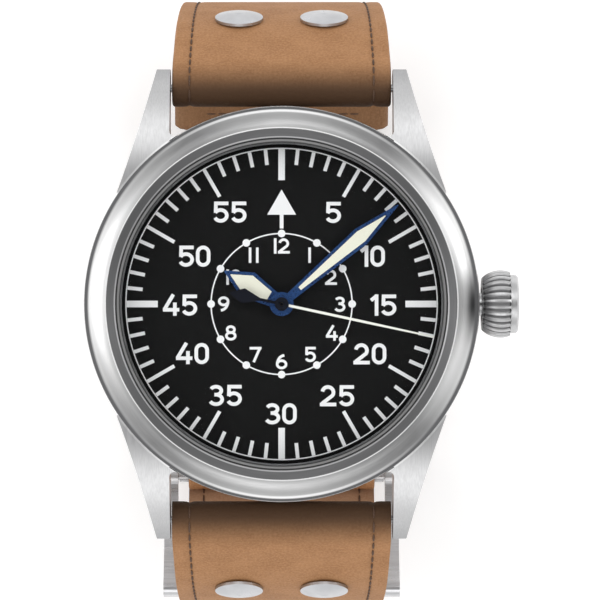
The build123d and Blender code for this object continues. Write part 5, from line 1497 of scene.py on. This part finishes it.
def long_half() -> HalfStrap:
    """The half between 6 o'clock and the tip.

    Returns:
        The half, still to be built.
    """
    grain, lining = long_route(Layer.GRAIN), long_route(Layer.LINING)
    tip_gap = 6.0
    return HalfStrap("strap_long", grain, lining, grain.length - tip_gap, lining.marks["flex"],
                     PLAN.pin, PLAN.pin_angle + 180, ("strap_long_upper", "strap_long_tail"))


@dataclass
class Keeper:
    """A leather loop that holds the tail down."""

    name: str
    node: str
    body: str
    middle: Pair
    tilt: float
    height: float
    sewn: bool = False
    half_width: float = 11.35
    wall: float = 1.3
    corner: float = 1.3
    length: float = 4.2
    seam_gap: float = 0.12
    column_shares: tuple[float, ...] = (-1, -0.8, -0.4, 0, 0.4, 0.8, 1)

    def route(self) -> Route:
        """Way round the loop, from the seam in its lower side and back to it."""
        route = Route()
        wide, high = self.half_width + self.wall / 2, self.height / 2 + self.wall / 2
        route.stop((self.seam_gap / 2, -high), heading(-90), self.wall)
        for x, z, start in ((1, -1, -90), (1, 1, 0), (-1, 1, 90), (-1, -1, 180)):
            centre = (x * (wide - self.corner), z * (high - self.corner))
            route.bend(centre, 0.0, start, start + 90, (self.corner, self.corner),
                       (self.wall, self.wall))
            if (x, z) == (1, 1):
                route.stop((0, high), heading(90), self.wall)
                route.mark("middle")
        route.stop((-self.seam_gap / 2, -high), heading(-90), self.wall)
        return route

    def lay(self, across: float, station: Station, height: float) -> Vector:
        """A keeper point's place, from its place across the loop's wall."""
        place = station.place + station.out * height
        turned = Matrix.Rotation(math.radians(self.tilt), 3, "X") @ Vector(
            (place.x, across, place.y))
        return turned + Vector((0, *self.middle))

    def build(self) -> None:
        """Makes the loop and its stitches."""
        route = self.route()
        strip = LeatherStrip(route, [self.length / 2 * share for share in self.column_shares])
        strip.thicken()
        loop = finished(self.name, strip.bent(self.lay), KEEPER_SHADED_TAN)
        pieces = [loop]
        if self.sewn:
            thread, middle = Stitching(lay=self.lay, height=0.24, sunk=0.0), route.marks["middle"]
            thread.sew(route, (0.0,), middle - PLAN.stitch_line, middle + PLAN.stitch_line)
            pieces.append(finished(self.name + "_stitches", thread.mesh, THREAD_BROWN))
        for piece in pieces:
            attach(piece, self.body)
        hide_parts(self.node)


# The studio


@dataclass
class Lamp:
    """A soft lamp that looks at the dial."""

    name: str
    place: tuple[float, float, float]
    size: Pair
    power: float

    def build(self) -> None:
        """Adds the lamp."""
        data = bpy.data.lights.new(self.name, "AREA")
        data.shape = "RECTANGLE"
        data.size, data.size_y = self.size
        data.energy = self.power
        lamp = bpy.data.objects.new(self.name, data)
        lamp.location = self.place
        lamp.rotation_euler = Vector(self.place).to_track_quat("Z", "Y").to_euler()
        bpy.context.scene.collection.objects.link(lamp)


@dataclass
class Studio:
    """Floor, soft light, pale surroundings and the camera straight above the dial."""

    floor_low: float = -46.6
    floor_size: float = 3.0
    camera_height: float = 422.75
    focus_height: float = 10.75
    view_width: float = 63.53
    frame_pixels: float = 600.0
    shift_pixels: Pair = (18.4, 4.0)
    sensor: float = 36.0
    clip: Pair = (0.01, 20.0)
    horizon_light: float = 0.82
    mid_light: float = 0.84
    overhead_light: float = 0.05
    horizon_bands: Pair = (0.03, 0.4)
    overhead_bands: Pair = (0.955, 0.99)
    lamps: tuple[Lamp, ...] = (Lamp("lamp_top", (0.0, 0.36, 0.55), (0.5, 0.3), 0.45),
                               Lamp("lamp_front", (0.0, -0.4, 0.5), (0.5, 0.3), 0.45),
                               Lamp("lamp_left", (-0.55, 0.06, 0.42), (0.3, 0.5), 1.0),
                               Lamp("lamp_right", (0.58, 0.1, 0.4), (0.25, 0.5), 0.8))

    def build(self) -> None:
        """Sets up the whole studio."""
        self.floor()
        self.surroundings()
        for lamp in self.lamps:
            lamp.build()
        self.camera()
        bpy.context.scene.view_settings.view_transform = "Standard"

    def floor(self) -> None:
        """The paper under the watch."""
        mesh = bmesh.new()
        bmesh.ops.create_grid(mesh, x_segments=8, y_segments=8, size=self.floor_size / 2 / MM)
        bmesh.ops.translate(mesh, vec=(0, 0, self.floor_low), verts=mesh.verts)
        floor = finished("floor", mesh, PAPER)
        if floor.data.polygons[0].normal.z < 0:
            floor.data.flip_normals()

    def surroundings(self) -> None:
        """Pale surroundings, with the dark of the camera straight overhead."""
        world = bpy.data.worlds.new("studio")
        world.use_nodes = True
        graph = Graph(world.node_tree)
        rise = graph.parts(graph.add("TexCoord").outputs["Generated"])[2]
        horizon, middle, overhead = (
            (light,) * 3 for light in (self.horizon_light, self.mid_light, self.overhead_light))
        around = graph.mixed(graph.band(rise, *self.horizon_bands), horizon, middle)
        light = graph.add("Background", {
            "Color": graph.mixed(graph.band(rise, *self.overhead_bands), around, overhead)})
        graph.add("OutputWorld", {"Surface": light.outputs[0]})
        bpy.context.scene.world = world

    def camera(self) -> None:
        """The camera, straight above the middle of the dial."""
        data = bpy.data.cameras.new("camera")
        distance = self.camera_height - self.focus_height
        data.sensor_width = self.sensor
        data.lens = self.sensor * distance / self.view_width
        data.shift_x, data.shift_y = (pixels / self.frame_pixels for pixels in self.shift_pixels)
        data.clip_start, data.clip_end = self.clip
        camera = bpy.data.objects.new("camera", data)
        camera.location = (0, 0, self.camera_height * MM)
        bpy.context.scene.collection.objects.link(camera)
        bpy.context.scene.camera = camera


def main() -> None:
    """Builds the watch's looks in order."""
    logging.basicConfig(level=logging.INFO, format="%(message)s")
    keepers = (
        Keeper("keeper_fixed_leather", "fixed_keeper", "loop_bottom", (-12.2, -42.273), 0.0,
               5.65),
        Keeper("keeper_free_leather", "free_keeper", "sliding_keeper", (23.948, -41.344), 19.0,
               6.55, sewn=True))
    for part in (CASE_WORK, Crystal(), DIAL_WORK, MOVEMENT, short_half(), long_half(), *keepers,
                 FITTINGS, Studio()):
        part.build()


if __name__ == "__main__":
    main()
